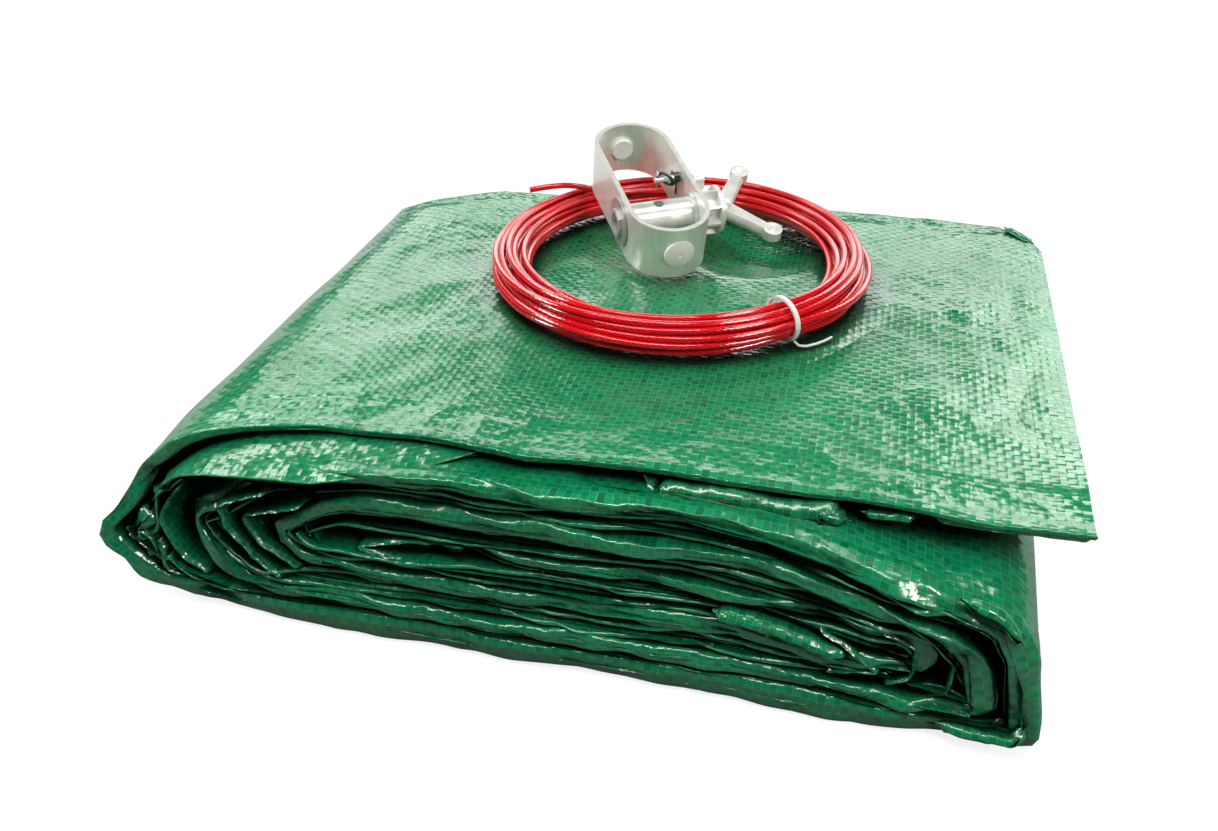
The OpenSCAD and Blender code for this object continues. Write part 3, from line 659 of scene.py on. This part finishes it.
# A lip's outline, from its outer flat face to its inner one: how far out from its middle and how far forward,
# as shares of half its thickness.
HALF_BLUNT = [(1, 0), (0.97, 0.45), (0.86, 0.8), (0.68, 0.95), (0.35, 1.0), (0, 0.96)]
BLUNT = HALF_BLUNT + [(-out, ahead) for out, ahead in HALF_BLUNT[-2::-1]]
ROUND_POINTS, ROUND_CURVE = 7, 0.75
ROUND = [(math.cos(a), math.sin(a) ** ROUND_CURVE) for a in np.linspace(0, math.pi, ROUND_POINTS)]
MOST_ROUND = 5               # half thickness in plies, past which a lip is blunt
FINE_STEP = 3.4              # from column to column where the cloth shows
HIDDEN_STEP = 30             # the same where it doesn't
FLAP_COLUMNS = (0, 5, 10, 15, 20)    # the hidden plies' columns near the flap's free edge
HIDDEN_START = 26
GATHER_START, GATHERED = 4, 0.6      # how the hidden plies draw together from the flap's free edge inwards
HIDDEN_ROWS = (0.02, 0.5, 0.78, 0.9, 0.95, 0.98)     # the third from the front lies over the handle's hollow
OUTER_ROWS = 64              # rows of the outer ply between its lips
PAST_LEFT_END = 80           # how far the outer ply shows past the left end
RIGHT_END_SPAN = (760, 1040)         # where along the strip the right end and the layer under the flap show

# The front and back edges of the flap, and the front edge of the thin plies under it, seen from above.
FLAP_FRONT = np.array([(-215, -146), (-157, -141), (-132, -129), (-105, -121), (-52, -119), (-12, -123),
                       (28, -120), (82, -121), (123, -121), (168, -124), (205, -123)])
FLAP_BACK = np.array([(-215, 100), (-156, 110), (-144, 121), (-113, 141), (98, 153), (182, 150), (205, 144)])
BAND_FRONT = np.array([(-215, -152), (-160, -153), (-131, -152), (-93, -149), (-70, -141), (-45, -129),
                       (-18, -113), (24, -112), (205, -112)])
BAND_RECESS = 4.0            # how far the deeper plies of that band lie behind its first one
FLAP_WAVE = 0.8
FLAP_BLUNTNESS = 0.5         # of the flap's edges, beside those of the windings
FLAP_END = (-10, 55)       # where the flap passes into the windings, from the left end of the top onwards

# How far the windings' front bulges or leans back, and the stretches along X, up Z or along the strip over
# which it does so. A stretch whose name ends in LEFT or FRONT is measured towards the left or the front.
FOOT_FRONT, TOP_SLUMP, SLUMP_CURVE = -151, 18, 1.2
UPPER_HALF = (30, 70)
RIGHT_BULGE, RIGHT_PART = 12, (60, 170)
LEFT_BULGE, FAR_LEFT = 5, (150, 200)
WALL_BULGE, RIGHT_WALL, WALL_RISE = 6, (165, 178), (8, 45)
LONG_WAVE, SHORT_WAVE = 3.2, 1.8
CORE_RECESS, CORE_END = 24, (-75, -8)
BACK_Y, BACK_WAVE, BACK_ROUNDING, BACK_LEFT = 148, 2.5, 6, (100, 190)

# How the plies share the strip's thickness.
FLAP_SQUEEZE, FLAP_RISE = 0.57, (-185, -125)
RIGHT_SQUEEZE = 0.14
CORE_SQUEEZE, CORE_START = 0.3, (-240, -160)
BIG_SHARE, GATHERED_SHARE, SHARE_WAVE = 0.52, 0.40, 0.12
SHARE_LENGTH, SHARE_LAYER = 60, (2.5, 8.5)   # of that wave, and where in the noise it lies
WALL_START, BOTTOM = (120, 170), (15, 9)
LONG_SHIFT, SHORT_SHIFT, SHIFT_RISE = 1.2, 0.8, (9, 20)
SMOOTH_WALL, WALL_SMOOTHING = 0.8, (165, 180)

# Creases of the stiff film near the front: how far they reach, in millimetres.
FILM_DEPTH, LEFT_FILM_DEPTH, DEPTH_LEFT = 30, 25, (105, 150)
FULL_DEPTH = 4               # from the front edge, where the creases are full
MIDDLE_FILM, END_FILM, TOWARDS_ENDS = 0.55, 0.6, (90, 150)
LOW_CALM, LOW_Z = 0.55, (12, 4)      # the film is calmer near the ground, and even more so outwards
LOW_OUT_CALM, LOW_OUT_Z = 0.5, (14, 4)
FLAT_SHARE = 0.35            # of the creases' reach forward, where the cloth isn't turning
CREASE_AHEAD, SMALL_AHEAD = 2.8, 2.3
CREASE_OUT, SMALL_OUT = 1.7, 1.4
CREASE_SIDE = 1.6
LEAN, LEAN_LENGTH = 0.55, 37
POCKET_DEPTH, POCKET_CREASE, POCKET_LEFT = 4, 7, (150, 178)

# The slack of the whole pack.
BROAD_HEAVE, SMALL_HEAVE, HEAVE_START = 1.6, 0.7, (5, 18)
BROAD_SIZES, SMALL_SIZES = (75, 95, 26), (24, 60, 11)        # of the heaves along X, Y and Z
TOP_CALM, HEAVE_TOP = 0.8, (74, 82)
HANG_START, HANG_LENGTH, HANG_DEPTH, MOST_HANG = -118, 30, 6.0, 1.2
TROUGH_DEPTH, TROUGH_Z = 10.0, (66, 70)
TROUGH_X_START, TROUGH_X_STOP = (8, 34), (105, 178)
TROUGH_START, TROUGH_STOP = (7, 14), (40, 70)        # from the front lips backwards
COIL_PRESS_INNER, COIL_PRESS_OUTER = (62, 74), (98, 112)     # radii where the coil starts and stops to press
TOP_CREASE, SMALL_TOP_CREASE, TOP_WAVE = 1.3, 0.5, 0.4
TOP_SIZES, SMALL_TOP_SIZES = (55, 42), (19, 23)      # of those creases along X and Y
TOP_WAVE_SIZES, TOP_WAVE_LAYER = (16, 22), 3.3
TOP_SINK = 1.5               # how far the creased top lies under its flat height
UNDER_COIL = 0.8             # share of creases and sinking that the coil presses away
RIGHT_DROP, RIGHT_DROP_X, RIGHT_DROP_FRONT = 0.2, (60, 200), (60, 150)       # how the lower corners give way
LEFT_DROP, DROP_LEFT, LEFT_DROP_FRONT = 0.08, (60, 190), (100, 150)
HOLLOW = np.array([49.3, 93.9])      # middle of the hollow that lets the handle turn
HOLLOW_R, HOLLOW_DEPTH, HOLLOW_CURVE, HOLLOW_Z = 42.0, 8.2, 1.3, (50, 80)
RIGHT_LIMIT, PAST_LIMIT = 195, 0.2   # past the limit the windings keep only this share of what sticks out
CUT_CORNER = (182, 152)      # a point of the line along which the flap's back right corner is folded in
CUT_ACROSS = (0.827, 0.562)  # the direction square to that line, outwards
CUT_FROM = (150, 100)        # only what lies right of and behind this point is folded in
GROUND_GAP, TOP_GAP = 0.25, 0.05
LAYER_GAP = 0.02             # how much higher the outer plies stay, as a share of their offset
LIP_APART = 1.37             # sets the noise of each lip apart from the next one's

# Loose folds.
FOLD_ROWS = 16
FOLD_STEP, LEAST_FOLD_POINTS = 1.2, 12
FOLD_SEED, SEEDS_PER_FOLD = 60, 4
FOLD_START, FOLD_END = 8, 9  # how far the crumpled ends of a fold reach
FOLD_TIP = 0.2               # share of its radius that a fold keeps at its tips
CALM_SHARE = 0.8             # share of the crumple that its middle loses
CRUMPLE_LENGTH, CRUMPLE_TURN = 4.5, 1.2      # the crumple's size along a fold, and how often round it
BROAD_SHARE = 0.25           # how strong the broad unevenness is beside the crumple
BROAD_LENGTH, BROAD_TURN = 13, 0.8           # the same of that unevenness
FLAT_SWAY, SIDE_SWAY = 4, 2  # how far a wholly crumpled fold sways
FLAT_SWAY_LENGTH, SIDE_SWAY_LENGTH = 19, 17
FORWARD, UPRIGHT = (0, -1, 0), (0, 0, 1)
# A fold's path, the direction in which it is flattened, its halves and how crumpled it is.
LOOSE_FOLDS = [
    # the hem that shows under the flap, its pinch and its knots
    ([(41, -120.5, 76.2), (115, -120.5, 76.2)], FORWARD, (6.2, 5.2), 0.4),
    ([(120, -118, 78), (142, -119, 79)], FORWARD, (4, 2.2), 0.6),
    ([(36, -120, 80.5), (43, -122.5, 73.5)], FORWARD, (3.5, 3), 0.6),
    ([(102, -121.5, 78), (117, -123, 73.5)], FORWARD, (4, 3), 0.8),
    # a pinch at the right end, the rim under the flap's right part, and a crumple below
    ([(158, -150, 69.5), (172, -152, 64), (182, -153.5, 55)], FORWARD, (3.5, 2.2), 0.7),
    ([(146, -121.5, 80.5), (176, -123, 82), (203, -122.5, 83.4)], UPRIGHT, (2.5, 1.7), 0.3),
    ([(158, -153, 8), (174, -154.5, 7), (186, -155.5, 7.5), (189, -154.5, 17)], FORWARD, (3, 2.2), 0.8),
    # the edge of the flap's back right corner, folded in
    ([(184, 147.5, 87.0), (198, 127.5, 87.0)], UPRIGHT, (1.0, 2.8), 0.08),
    # single plies that turn at the left end, and the crumpled pocket outside them
    ([(-112, -142, 68), (-139, -143, 57), (-136, -144, 46), (-126, -145, 31), (-112, -145, 22)],
     FORWARD, (8, 1.3), 0.4),
    ([(-98, -141, 63), (-129, -142, 52), (-123, -143, 40), (-104, -144, 27)], FORWARD, (8, 1.2), 0.4),
    ([(-158, -140, 62), (-171, -141, 42), (-163, -142, 24), (-150, -142, 15)], FORWARD, (8, 1.6), 0.5),
    ([(-174, -141, 46), (-185, -144, 34), (-177, -145, 19)], FORWARD, (7, 5), 0.8),
    # the heart of the roll
    ([(70, -146, 42), (98, -147, 37.5), (124, -147, 30)], FORWARD, (5.5, 3.4), 0.5),
    ([(-30, -137, 50.5), (-66, -138, 46), (-80, -139, 42), (-52, -140, 38.5)], FORWARD, (8, 1.7), 0.5),
    # single plies that turn at the right end
    ([(140, -138, 51), (162, -139, 46), (160, -141, 19), (148, -141, 15)], FORWARD, (8, 1.6), 0.35),
    ([(126, -139, 46), (147, -140, 38), (146, -141, 24), (134, -141, 18)], FORWARD, (8, 1.6), 0.35),
    ([(108, -141, 42), (135, -142, 26), (112, -142, 19)], FORWARD, (8, 1.8), 0.4)]


def winding_line():
    """The middle of the strip, from the flap's free edge to the heart of the roll, a point a millimetre."""
    corners = np.array([FLAP_EDGE] + [corner[:2] for corner in WINDINGS] + [STRIP_END], float)
    line = [corners[0]]
    for i, (_, _, trim) in enumerate(WINDINGS):
        before, here, after = corners[i:i + 3]
        a = here + (before - here) * min(MOST_ROUNDED, trim / np.linalg.norm(before - here))
        b = here + (after - here) * min(MOST_ROUNDED, trim / np.linalg.norm(after - here))
        for t in np.linspace(0, 1, CORNER_POINTS):
            line.append((1 - t) ** 2 * a + 2 * t * (1 - t) * here + t * t * b)
    line = np.array(line + [corners[-1]])
    run = run_of(line)
    return points_at(np.arange(0, run[-1], 1.0), run, line)


class Roll:
    """The rolled strip seen from the front: its middle line, running length and outward direction."""

    def __init__(self):
        self.line = winding_line()
        self.run = run_of(self.line)
        self.length = self.run[-1]
        along = unit(np.gradient(self.line, axis=0))
        self.out = np.stack([along[:, 1], -along[:, 0]], axis=1)
        self.top_end = self.run[np.argmax(self.line[:, 0] < TOP_LEFT_X)]
        self.left_end = self.run[np.argmax(self.line[:, 0] < LEFT_END_X)]


class Patch:
    """A patch of the flat cloth: columns along the strip and rows across it, which it places on the roll.

    A row is a share of the way to the back, a level among the plies, and how far outside the fold it lies.
    Hidden plies are coarse, so they lie close to the middle of their group, and show only at the flap's free
    edge.
    """

    def __init__(self, roll, columns, rows, leg, hidden=False):
        self.roll, self.leg, self.lip = roll, leg, leg * LIP_APART
        self.u = np.asarray(columns)[:, None]
        self.share, self.level, self.beyond = np.array(rows, float).T[:, None]
        width = np.diff(self.share[0]) * PANEL_LENGTH
        rise, reach = np.diff(self.level[0]), np.diff(self.beyond[0])
        self.across = summed(np.hypot(width, rise * PLY_STEP + reach))[None]
        share = 1 - self.share if leg % 2 == 0 else self.share
        self.v = (leg + share) * PANEL_LENGTH + summed(np.hypot(reach, rise * PLY_STEP * LIP_SPREAD))
        self.x, self.z = (np.interp(self.u, roll.run, roll.line[:, k]) for k in (0, 1))
        self.out_x, self.out_z = (np.interp(self.u, roll.run, roll.out[:, k]) for k in (0, 1))
        self.big = self.level < BIG_LIP_PLIES - 0.5
        if hidden:
            middle = np.where(self.big, (BIG_LIP_PLIES - 1) / 2, (BIG_LIP_PLIES + PLIES - 1) / 2)
            gathered = GATHERED * ease(self.u, GATHER_START, HIDDEN_START)
            self.level = middle + (self.level - middle) * (1 - gathered)
        self.flap = 1 - self.along_strip(roll.top_end, FLAP_END)
        self.body = 1 - self.flap
        self.steady = 1 - SMOOTH_WALL * ease(self.x, *WALL_SMOOTHING)

    def along_strip(self, origin, stretch):
        """0 to 1 over a stretch of the strip that is measured from an origin on it."""
        return ease(self.u, origin + stretch[0], origin + stretch[1])

    def waves(self, length, layer, seed):
        """Smooth noise along the strip, its own for each lip."""
        return noise(stacked(self.u / length, self.lip, layer), seed)

    def facets(self, length, width, seed, shift=0):
        """Creased noise over the cloth, its own for each lip."""
        return facets(self.u / length + shift, self.across / width + self.lip, seed)

    def uvs(self):
        """Places on the flat cloth, all its legs laid side by side."""
        return stacked(self.u, self.v).reshape(-1, 2)

    def points(self):
        """Points on the roll, column by column."""
        front_lips = self.front_lips()
        front, back = self.front_edge(front_lips), self.back_edge()
        outside = np.where(self.share > 0.5, 1, -1) * self.beyond * (1 - FLAP_BLUNTNESS * self.flap)
        y = (1 - self.share) * front + self.share * back + outside
        depth = FILM_DEPTH + LEFT_FILM_DEPTH * ease(-self.x, *DEPTH_LEFT) * ~self.big
        near_front = ease(-y, -front - depth, -front - FULL_DEPTH)
        y, offset, sideways = self.creased(y, self.ply_offset(near_front), near_front)
        x = self.x + self.out_x * offset + self.out_z * sideways
        kept = PAST_LIMIT + (1 - PAST_LIMIT) * self.flap
        x = np.where(x > RIGHT_LIMIT, RIGHT_LIMIT + (x - RIGHT_LIMIT) * kept, x)
        z = self.z + self.out_z * offset - self.out_x * sideways
        z = self.pressed(x, y, self.slackened(x, y, z, front_lips))
        z = np.clip(z, GROUND_GAP + LAYER_GAP * np.abs(offset), TOP_Z - TOP_GAP)
        return stacked(*self.corner_folded(x, y), z).reshape(-1, 3)

    def front_lips(self):
        """Where the windings' front lips lie: the front leans back to the top and bulges at both ends."""
        upper = ease(self.z, *UPPER_HALF)
        front = FOOT_FRONT + TOP_SLUMP * np.clip(self.z / TOP_Z, 0, 1) ** SLUMP_CURVE
        front = front - RIGHT_BULGE * ease(self.x, *RIGHT_PART) * upper
        front = front - LEFT_BULGE * ease(-self.x, *FAR_LEFT)
        front = front - WALL_BULGE * ease(self.x, *RIGHT_WALL) * ease(self.z, *WALL_RISE) * (1 - upper)
        front = front + LONG_WAVE * self.waves(length=110, layer=0.5, seed=11)
        front = front + SHORT_WAVE * self.waves(length=36, layer=3.5, seed=12)
        core = CORE_RECESS * self.along_strip(self.roll.length, CORE_END)
        return front + LIP_RECESS.get(self.leg, HIDDEN_RECESS) + core

    def front_edge(self, front_lips):
        """Where every column turns at the front, on the flap and on the windings."""
        band = np.interp(self.x, *BAND_FRONT.T) + (0 if self.leg == FIRST_THIN_LIP else BAND_RECESS)
        flap_front = np.where(self.big, np.interp(self.x, *FLAP_FRONT.T), band)
        flap_front = flap_front + FLAP_WAVE * self.waves(length=45, layer=6.5, seed=17)
        return self.flap * flap_front + self.body * front_lips

    def back_edge(self):
        """The same at the back."""
        back = BACK_Y + BACK_WAVE * self.waves(length=90, layer=1.5, seed=13)
        back = back - BACK_ROUNDING * ease(-self.x, *BACK_LEFT)
        return self.flap * np.interp(self.x, *FLAP_BACK.T) + self.body * back

    def ply_offset(self, near_front):
        """How far out from the strip's middle each ply lies, as the plies share the strip's thickness."""
        squeeze = 1 - self.flap * FLAP_SQUEEZE * ease(self.x, *FLAP_RISE)
        squeeze = squeeze - self.flap * RIGHT_SQUEEZE * ease(self.x, *RIGHT_PART)
        squeeze = squeeze - CORE_SQUEEZE * self.along_strip(self.roll.length, CORE_START)
        thickness = (PLIES - 1) * PLY_STEP * squeeze
        gathered = np.maximum(np.abs(self.out_x) * ease(self.x, *WALL_START), ease(self.z, *BOTTOM))
        waves = SHARE_WAVE * noise(stacked(self.u / SHARE_LENGTH, *SHARE_LAYER), seed=18) * self.body
        big_share = BIG_SHARE + (GATHERED_SHARE * gathered + waves) * near_front
        thin_part = (self.level - BIG_LIP_PLIES + 1) / (PLIES - BIG_LIP_PLIES)
        part = np.where(self.big, big_share * self.level / (BIG_LIP_PLIES - 1),
                        big_share + (1 - big_share) * thin_part)
        shift = LONG_SHIFT * self.waves(length=55, layer=9.5, seed=19)
        shift = shift + SHORT_SHIFT * self.waves(length=19, layer=4.5, seed=20)
        shift = shift * near_front * self.body * ease(self.z, *SHIFT_RISE) * self.steady
        return thickness * (0.5 - part) + shift

    def creased(self, y, offset, near_front):
        """Y, the offset outwards and a move sideways, with the stiff film's creases near the front."""
        film = near_front * self.body * (1 - LOW_CALM * ease(self.z, *LOW_Z))
        film = film * (MIDDLE_FILM + END_FILM * ease(np.abs(self.x), *TOWARDS_ENDS))
        forward = CREASE_AHEAD * self.facets(length=29, width=13, seed=31)
        forward = forward + SMALL_AHEAD * self.facets(length=11, width=6, seed=33)
        lean = self.big * LEAN * facets(self.u / LEAN_LENGTH, self.lip, seed=37)
        lean = lean * ((BIG_LIP_PLIES - 1) / 2 - self.level) * PLY_STEP
        y = y - film * (forward * (FLAT_SHARE + (1 - FLAT_SHARE) * (self.beyond != 0)) + lean)
        outward = CREASE_OUT * self.facets(length=29, width=13, seed=32, shift=9)
        outward = outward + SMALL_OUT * self.facets(length=11, width=6, seed=34, shift=5)
        outward = outward * film * (1 - LOW_OUT_CALM * ease(self.z, *LOW_OUT_Z)) * self.steady
        pocket = POCKET_DEPTH + POCKET_CREASE * self.facets(length=13, width=10, seed=36)
        pocket = pocket * ease(-self.x, *POCKET_LEFT) * self.body * film * ~self.big
        sideways = film * CREASE_SIDE * self.facets(length=24, width=11, seed=35, shift=3)
        return y, offset + outward - pocket, sideways

    def slackened(self, x, y, z, front_lips):
        """Z with the pack's slack: its heaves, the band that hangs below the flap, the trough under it."""
        heave = BROAD_HEAVE * noise(stacked(x, y, z) / BROAD_SIZES, seed=21)
        heave = heave + SMALL_HEAVE * noise(stacked(x, y, z) / SMALL_SIZES, seed=22)
        z = z + heave * ease(z, *HEAVE_START) * (1 - TOP_CALM * ease(z, *HEAVE_TOP))
        hanging = np.where(self.big, 0, np.clip((HANG_START - y) / HANG_LENGTH, 0, MOST_HANG))
        z = z - HANG_DEPTH * hanging * self.flap
        trough = ease(self.x, *TROUGH_X_START) * (1 - ease(self.x, *TROUGH_X_STOP))
        trough = trough * ease(self.z, *TROUGH_Z) * self.body
        behind_lips = y - front_lips
        trough = trough * ease(behind_lips, *TROUGH_START) * (1 - ease(behind_lips, *TROUGH_STOP))
        return z - TROUGH_DEPTH * trough

    def pressed(self, x, y, z):
        """Z with the top's creases, which the coil presses smooth, lower front corners, and the hollow."""
        from_coil = np.hypot(x - COIL_CENTRE[0], y - COIL_CENTRE[1])
        under_coil = ease(from_coil, *COIL_PRESS_INNER) * (1 - ease(from_coil, *COIL_PRESS_OUTER))
        top = TOP_CREASE * facets(x / TOP_SIZES[0], y / TOP_SIZES[1], seed=41)
        top = top + SMALL_TOP_CREASE * facets(x / SMALL_TOP_SIZES[0], y / SMALL_TOP_SIZES[1], seed=42)
        wave = noise(stacked(x / TOP_WAVE_SIZES[0], y / TOP_WAVE_SIZES[1], TOP_WAVE_LAYER), seed=23)
        top = top + TOP_WAVE * wave
        z = z + self.flap * (top - TOP_SINK) * (1 - UNDER_COIL * under_coil)
        z = z * (1 - RIGHT_DROP * self.body * ease(x, *RIGHT_DROP_X) * ease(-y, *RIGHT_DROP_FRONT))
        z = z * (1 - LEFT_DROP * self.body * ease(-x, *DROP_LEFT) * ease(-y, *LEFT_DROP_FRONT))
        from_hollow = ((x - HOLLOW[0]) ** 2 + (y - HOLLOW[1]) ** 2) / HOLLOW_R ** 2
        return z - HOLLOW_DEPTH * np.clip(1 - from_hollow, 0, 1) ** HOLLOW_CURVE * ease(z, *HOLLOW_Z)

    def corner_folded(self, x, y):
        """X and Y with the flap's back right corner folded in."""
        past = np.maximum((x - CUT_CORNER[0]) * CUT_ACROSS[0] + (y - CUT_CORNER[1]) * CUT_ACROSS[1], 0)
        past = past * (x > CUT_FROM[0]) * (y > CUT_FROM[1]) * self.flap
        return x - past * CUT_ACROSS[0], y - past * CUT_ACROSS[1]


def hidden_rows(leg):
    """Rows of a hidden leg and of the turn to the next leg."""
    level = LEGS[leg]
    shares = HIDDEN_ROWS if leg % 2 == 1 else HIDDEN_ROWS[::-1]
    rows = [(share, level, 0.0) for share in shares]
    if leg + 1 < len(LEGS):
        other = LEGS[leg + 1]
        rows.append((1.0 if leg % 2 == 1 else 0.0, (level + other) / 2, abs(level - other) / 2 * PLY_STEP))
    return rows


def lip_rows(leg, reach, near, end=0.0):
    """Rows of one lip at the front, or at the back if end is 1.

    They are the last rows of a leg, those of its turn, and the first of the next leg.
    """
    level, other = LEGS[leg], LEGS[leg + 1]
    centre, radius = (level + other) / 2, (level - other) / 2
    inward = 1 - 2 * end
    shares = [end + inward * share * reach / PANEL_LENGTH for share in near]
    outline = BLUNT if abs(radius) > MOST_ROUND else ROUND
    turn = [(end, centre + radius * out, abs(radius) * PLY_STEP * ahead) for out, ahead in outline]
    return [(share, level, 0.0) for share in shares] + turn + [(share, other, 0.0) for share in shares[::-1]]


def loose_fold(path, flat, halves, crumple, seed):
    """Points and UVs of a loose fold of the cloth along a path, crumpled most at its two ends.

    Its section is an oval whose halves are measured along the direction flat and square to it.
    """
    path = np.array(path, float)
    run = run_of(path)
    count = max(LEAST_FOLD_POINTS, int(run[-1] / FOLD_STEP))
    line = relaxed(points_at(np.linspace(0, run[-1], count), run, path), 3)
    side = unit(np.cross(np.gradient(line, axis=0), flat))[:, None]
    run = run_of(line)[:, None]
    turn = np.linspace(0, FULL_TURN, FOLD_ROWS)[None]
    calm = ease(run, 0, FOLD_START) * (1 - ease(run, run[-1] - FOLD_END, run[-1]))
    crumpled = crumple * (1 - CALM_SHARE * calm) * facets(run / CRUMPLE_LENGTH, turn * CRUMPLE_TURN, seed)
    radius = (FOLD_TIP + (1 - FOLD_TIP) * ease(calm, 0, 0.5)) * (1 + crumpled)
    uneven = facets(run / BROAD_LENGTH, turn * BROAD_TURN, seed + 1)
    radius = radius * (1 + BROAD_SHARE * crumple * uneven)
    flat_sway = FLAT_SWAY * crumple * facets(run / FLAT_SWAY_LENGTH, 0, seed + 2)
    side_sway = SIDE_SWAY * crumple * facets(run / SIDE_SWAY_LENGTH, 0, seed + 3)
    along_flat = halves[0] * radius * np.cos(turn) + flat_sway
    along_side = halves[1] * radius * np.sin(turn) + side_sway
    shape = line[:, None] + along_flat[..., None] * np.array(flat, float) + along_side[..., None] * side
    return shape.reshape(-1, 3), stacked(run, halves[0] * turn).reshape(-1, 2)


class Cloth:
    """Points, faces and UVs of the cover, to which patches and folds are added."""

    def __init__(self, roll):
        self.roll = roll
        self.shapes, self.faces, self.uvs = [], [], []
        self.count = 0

    def add(self, points, uvs, rows):
        """A grid of points, stored column by column, with a UV for each."""
        self.shapes.append(points)
        self.uvs.append(uvs)
        self.faces.append(grid_faces(len(points) // rows, rows, self.count))
        self.count += len(points)

    def add_patch(self, columns, rows, leg, hidden=False):
        patch = Patch(self.roll, columns, rows, leg, hidden)
        self.add(patch.points(), patch.uvs(), len(rows))


def make_cover():
    """The cover's cloth in one piece: all its legs coarsely, what shows of them finely, and loose folds."""
    roll = Roll()
    cloth = Cloth(roll)
    inner_columns = np.linspace(HIDDEN_START, roll.length, int(roll.length / HIDDEN_STEP))
    for leg in range(len(LEGS)):
        cloth.add_patch(np.concatenate([FLAP_COLUMNS, inner_columns]), hidden_rows(leg), leg, hidden=True)
    columns = np.arange(0, roll.length, FINE_STEP)
    for leg, reach, near in FRONT_LIPS:
        cloth.add_patch(columns, lip_rows(leg, reach, near), leg)
    cloth.add_patch(columns[::2], lip_rows(BACK_LIP, LIP_REACH, BACK_ROWS, end=1.0), BACK_LIP)
    # the outer ply between its lips: the top and left end, then the right end and the layer under the flap
    shares = np.linspace(LIP_REACH, PANEL_LENGTH - LIP_REACH, OUTER_ROWS) / PANEL_LENGTH
    rows = [(share, 0, 0.0) for share in shares]
    cloth.add_patch(columns[columns < roll.left_end + PAST_LEFT_END], rows, BIG_LIP)
    right = (columns > RIGHT_END_SPAN[0]) & (columns < RIGHT_END_SPAN[1])
    cloth.add_patch(columns[right], rows[::2] + rows[-1:], BIG_LIP)
    for i, fold in enumerate(LOOSE_FOLDS):
        cloth.add(*loose_fold(*fold, seed=FOLD_SEED + SEEDS_PER_FOLD * i), FOLD_ROWS)
    cover = mesh_piece("folded_cover", np.concatenate(cloth.shapes), np.concatenate(cloth.faces),
                       np.concatenate(cloth.uvs), Weave().material, "cover", "woven_cover")
    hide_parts("cover_roll", "cover_flap")


# ---------------------------------------------------------------- the finishes of the other parts
# Each finish: its nodes, its dark and pale colours, how metallic and how rough it is, the scales of its
# patches and its grain, and the depth of its grain.
FINISHES = {
    "worn zinc": (["end_washer"],
                  (0.36, 0.37, 0.35), (0.58, 0.59, 0.56), 0.5, 0.34, (300, 1500), 0.02),
    "zinc plate": (["spool_tube", "spool_collar", "pawl_pin"],
                   (0.62, 0.64, 0.6), (0.78, 0.8, 0.75), 0.5, 0.32, (120, 1500), 0.02),
    "cast metal": (["wing_handle", "pawl"],
                   (0.72, 0.72, 0.67), (0.88, 0.88, 0.82), 0.4, 0.34, (140, 1700), 0.1),
    "bright wire": (["split_pin"],
                    (0.6, 0.6, 0.58), (0.8, 0.8, 0.78), 1.0, 0.24, (300, 900), 0.01),
    "dark steel": (["pawl_spring", "pawl_washer"],
                   (0.08, 0.09, 0.09), (0.16, 0.17, 0.17), 1.0, 0.34, (300, 900), 0.01),
    "white nylon": (["front_bush", "rear_bush"],
                    (0.88, 0.9, 0.85), (0.95, 0.96, 0.92), 0.0, 0.36, (120, 900), 0.03),
    "white tie": (["coil_tie", "tie_tail"],
                  (0.78, 0.79, 0.76), (0.86, 0.87, 0.84), 0.0, 0.32, (120, 900), 0.02)}
SATIN_ALUMINIUM = (0.84, 0.85, 0.78), (0.94, 0.95, 0.89), 0.5, 0.3, (1.6, 1), 0.01
BRUSHED = (260, 260, 22)     # stretch of the strap's brushed grain, which runs upright


def dress(nodes, material):
    """One material all over each of the nodes."""
    for name in nodes:
        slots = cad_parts[name].data.materials
        if not slots:
            slots.append(material)
        for i in range(len(slots)):
            slots[i] = material


def dress_parts():
    strap = hard_skin("satin aluminium", *SATIN_ALUMINIUM, stretch=BRUSHED, turn=-FRAME_HEADING)
    dress(["tensioner_frame"], strap)
    for name, (nodes, *look) in FINISHES.items():
        dress(nodes, hard_skin(name, *look))


SKIN = skin_group()
bpy.context.scene.view_settings.view_transform = "Standard"
make_camera()
make_world()
make_floor()
for lamp in LAMPS:
    softbox(*lamp)
make_cable()
make_cover()
dress_parts()
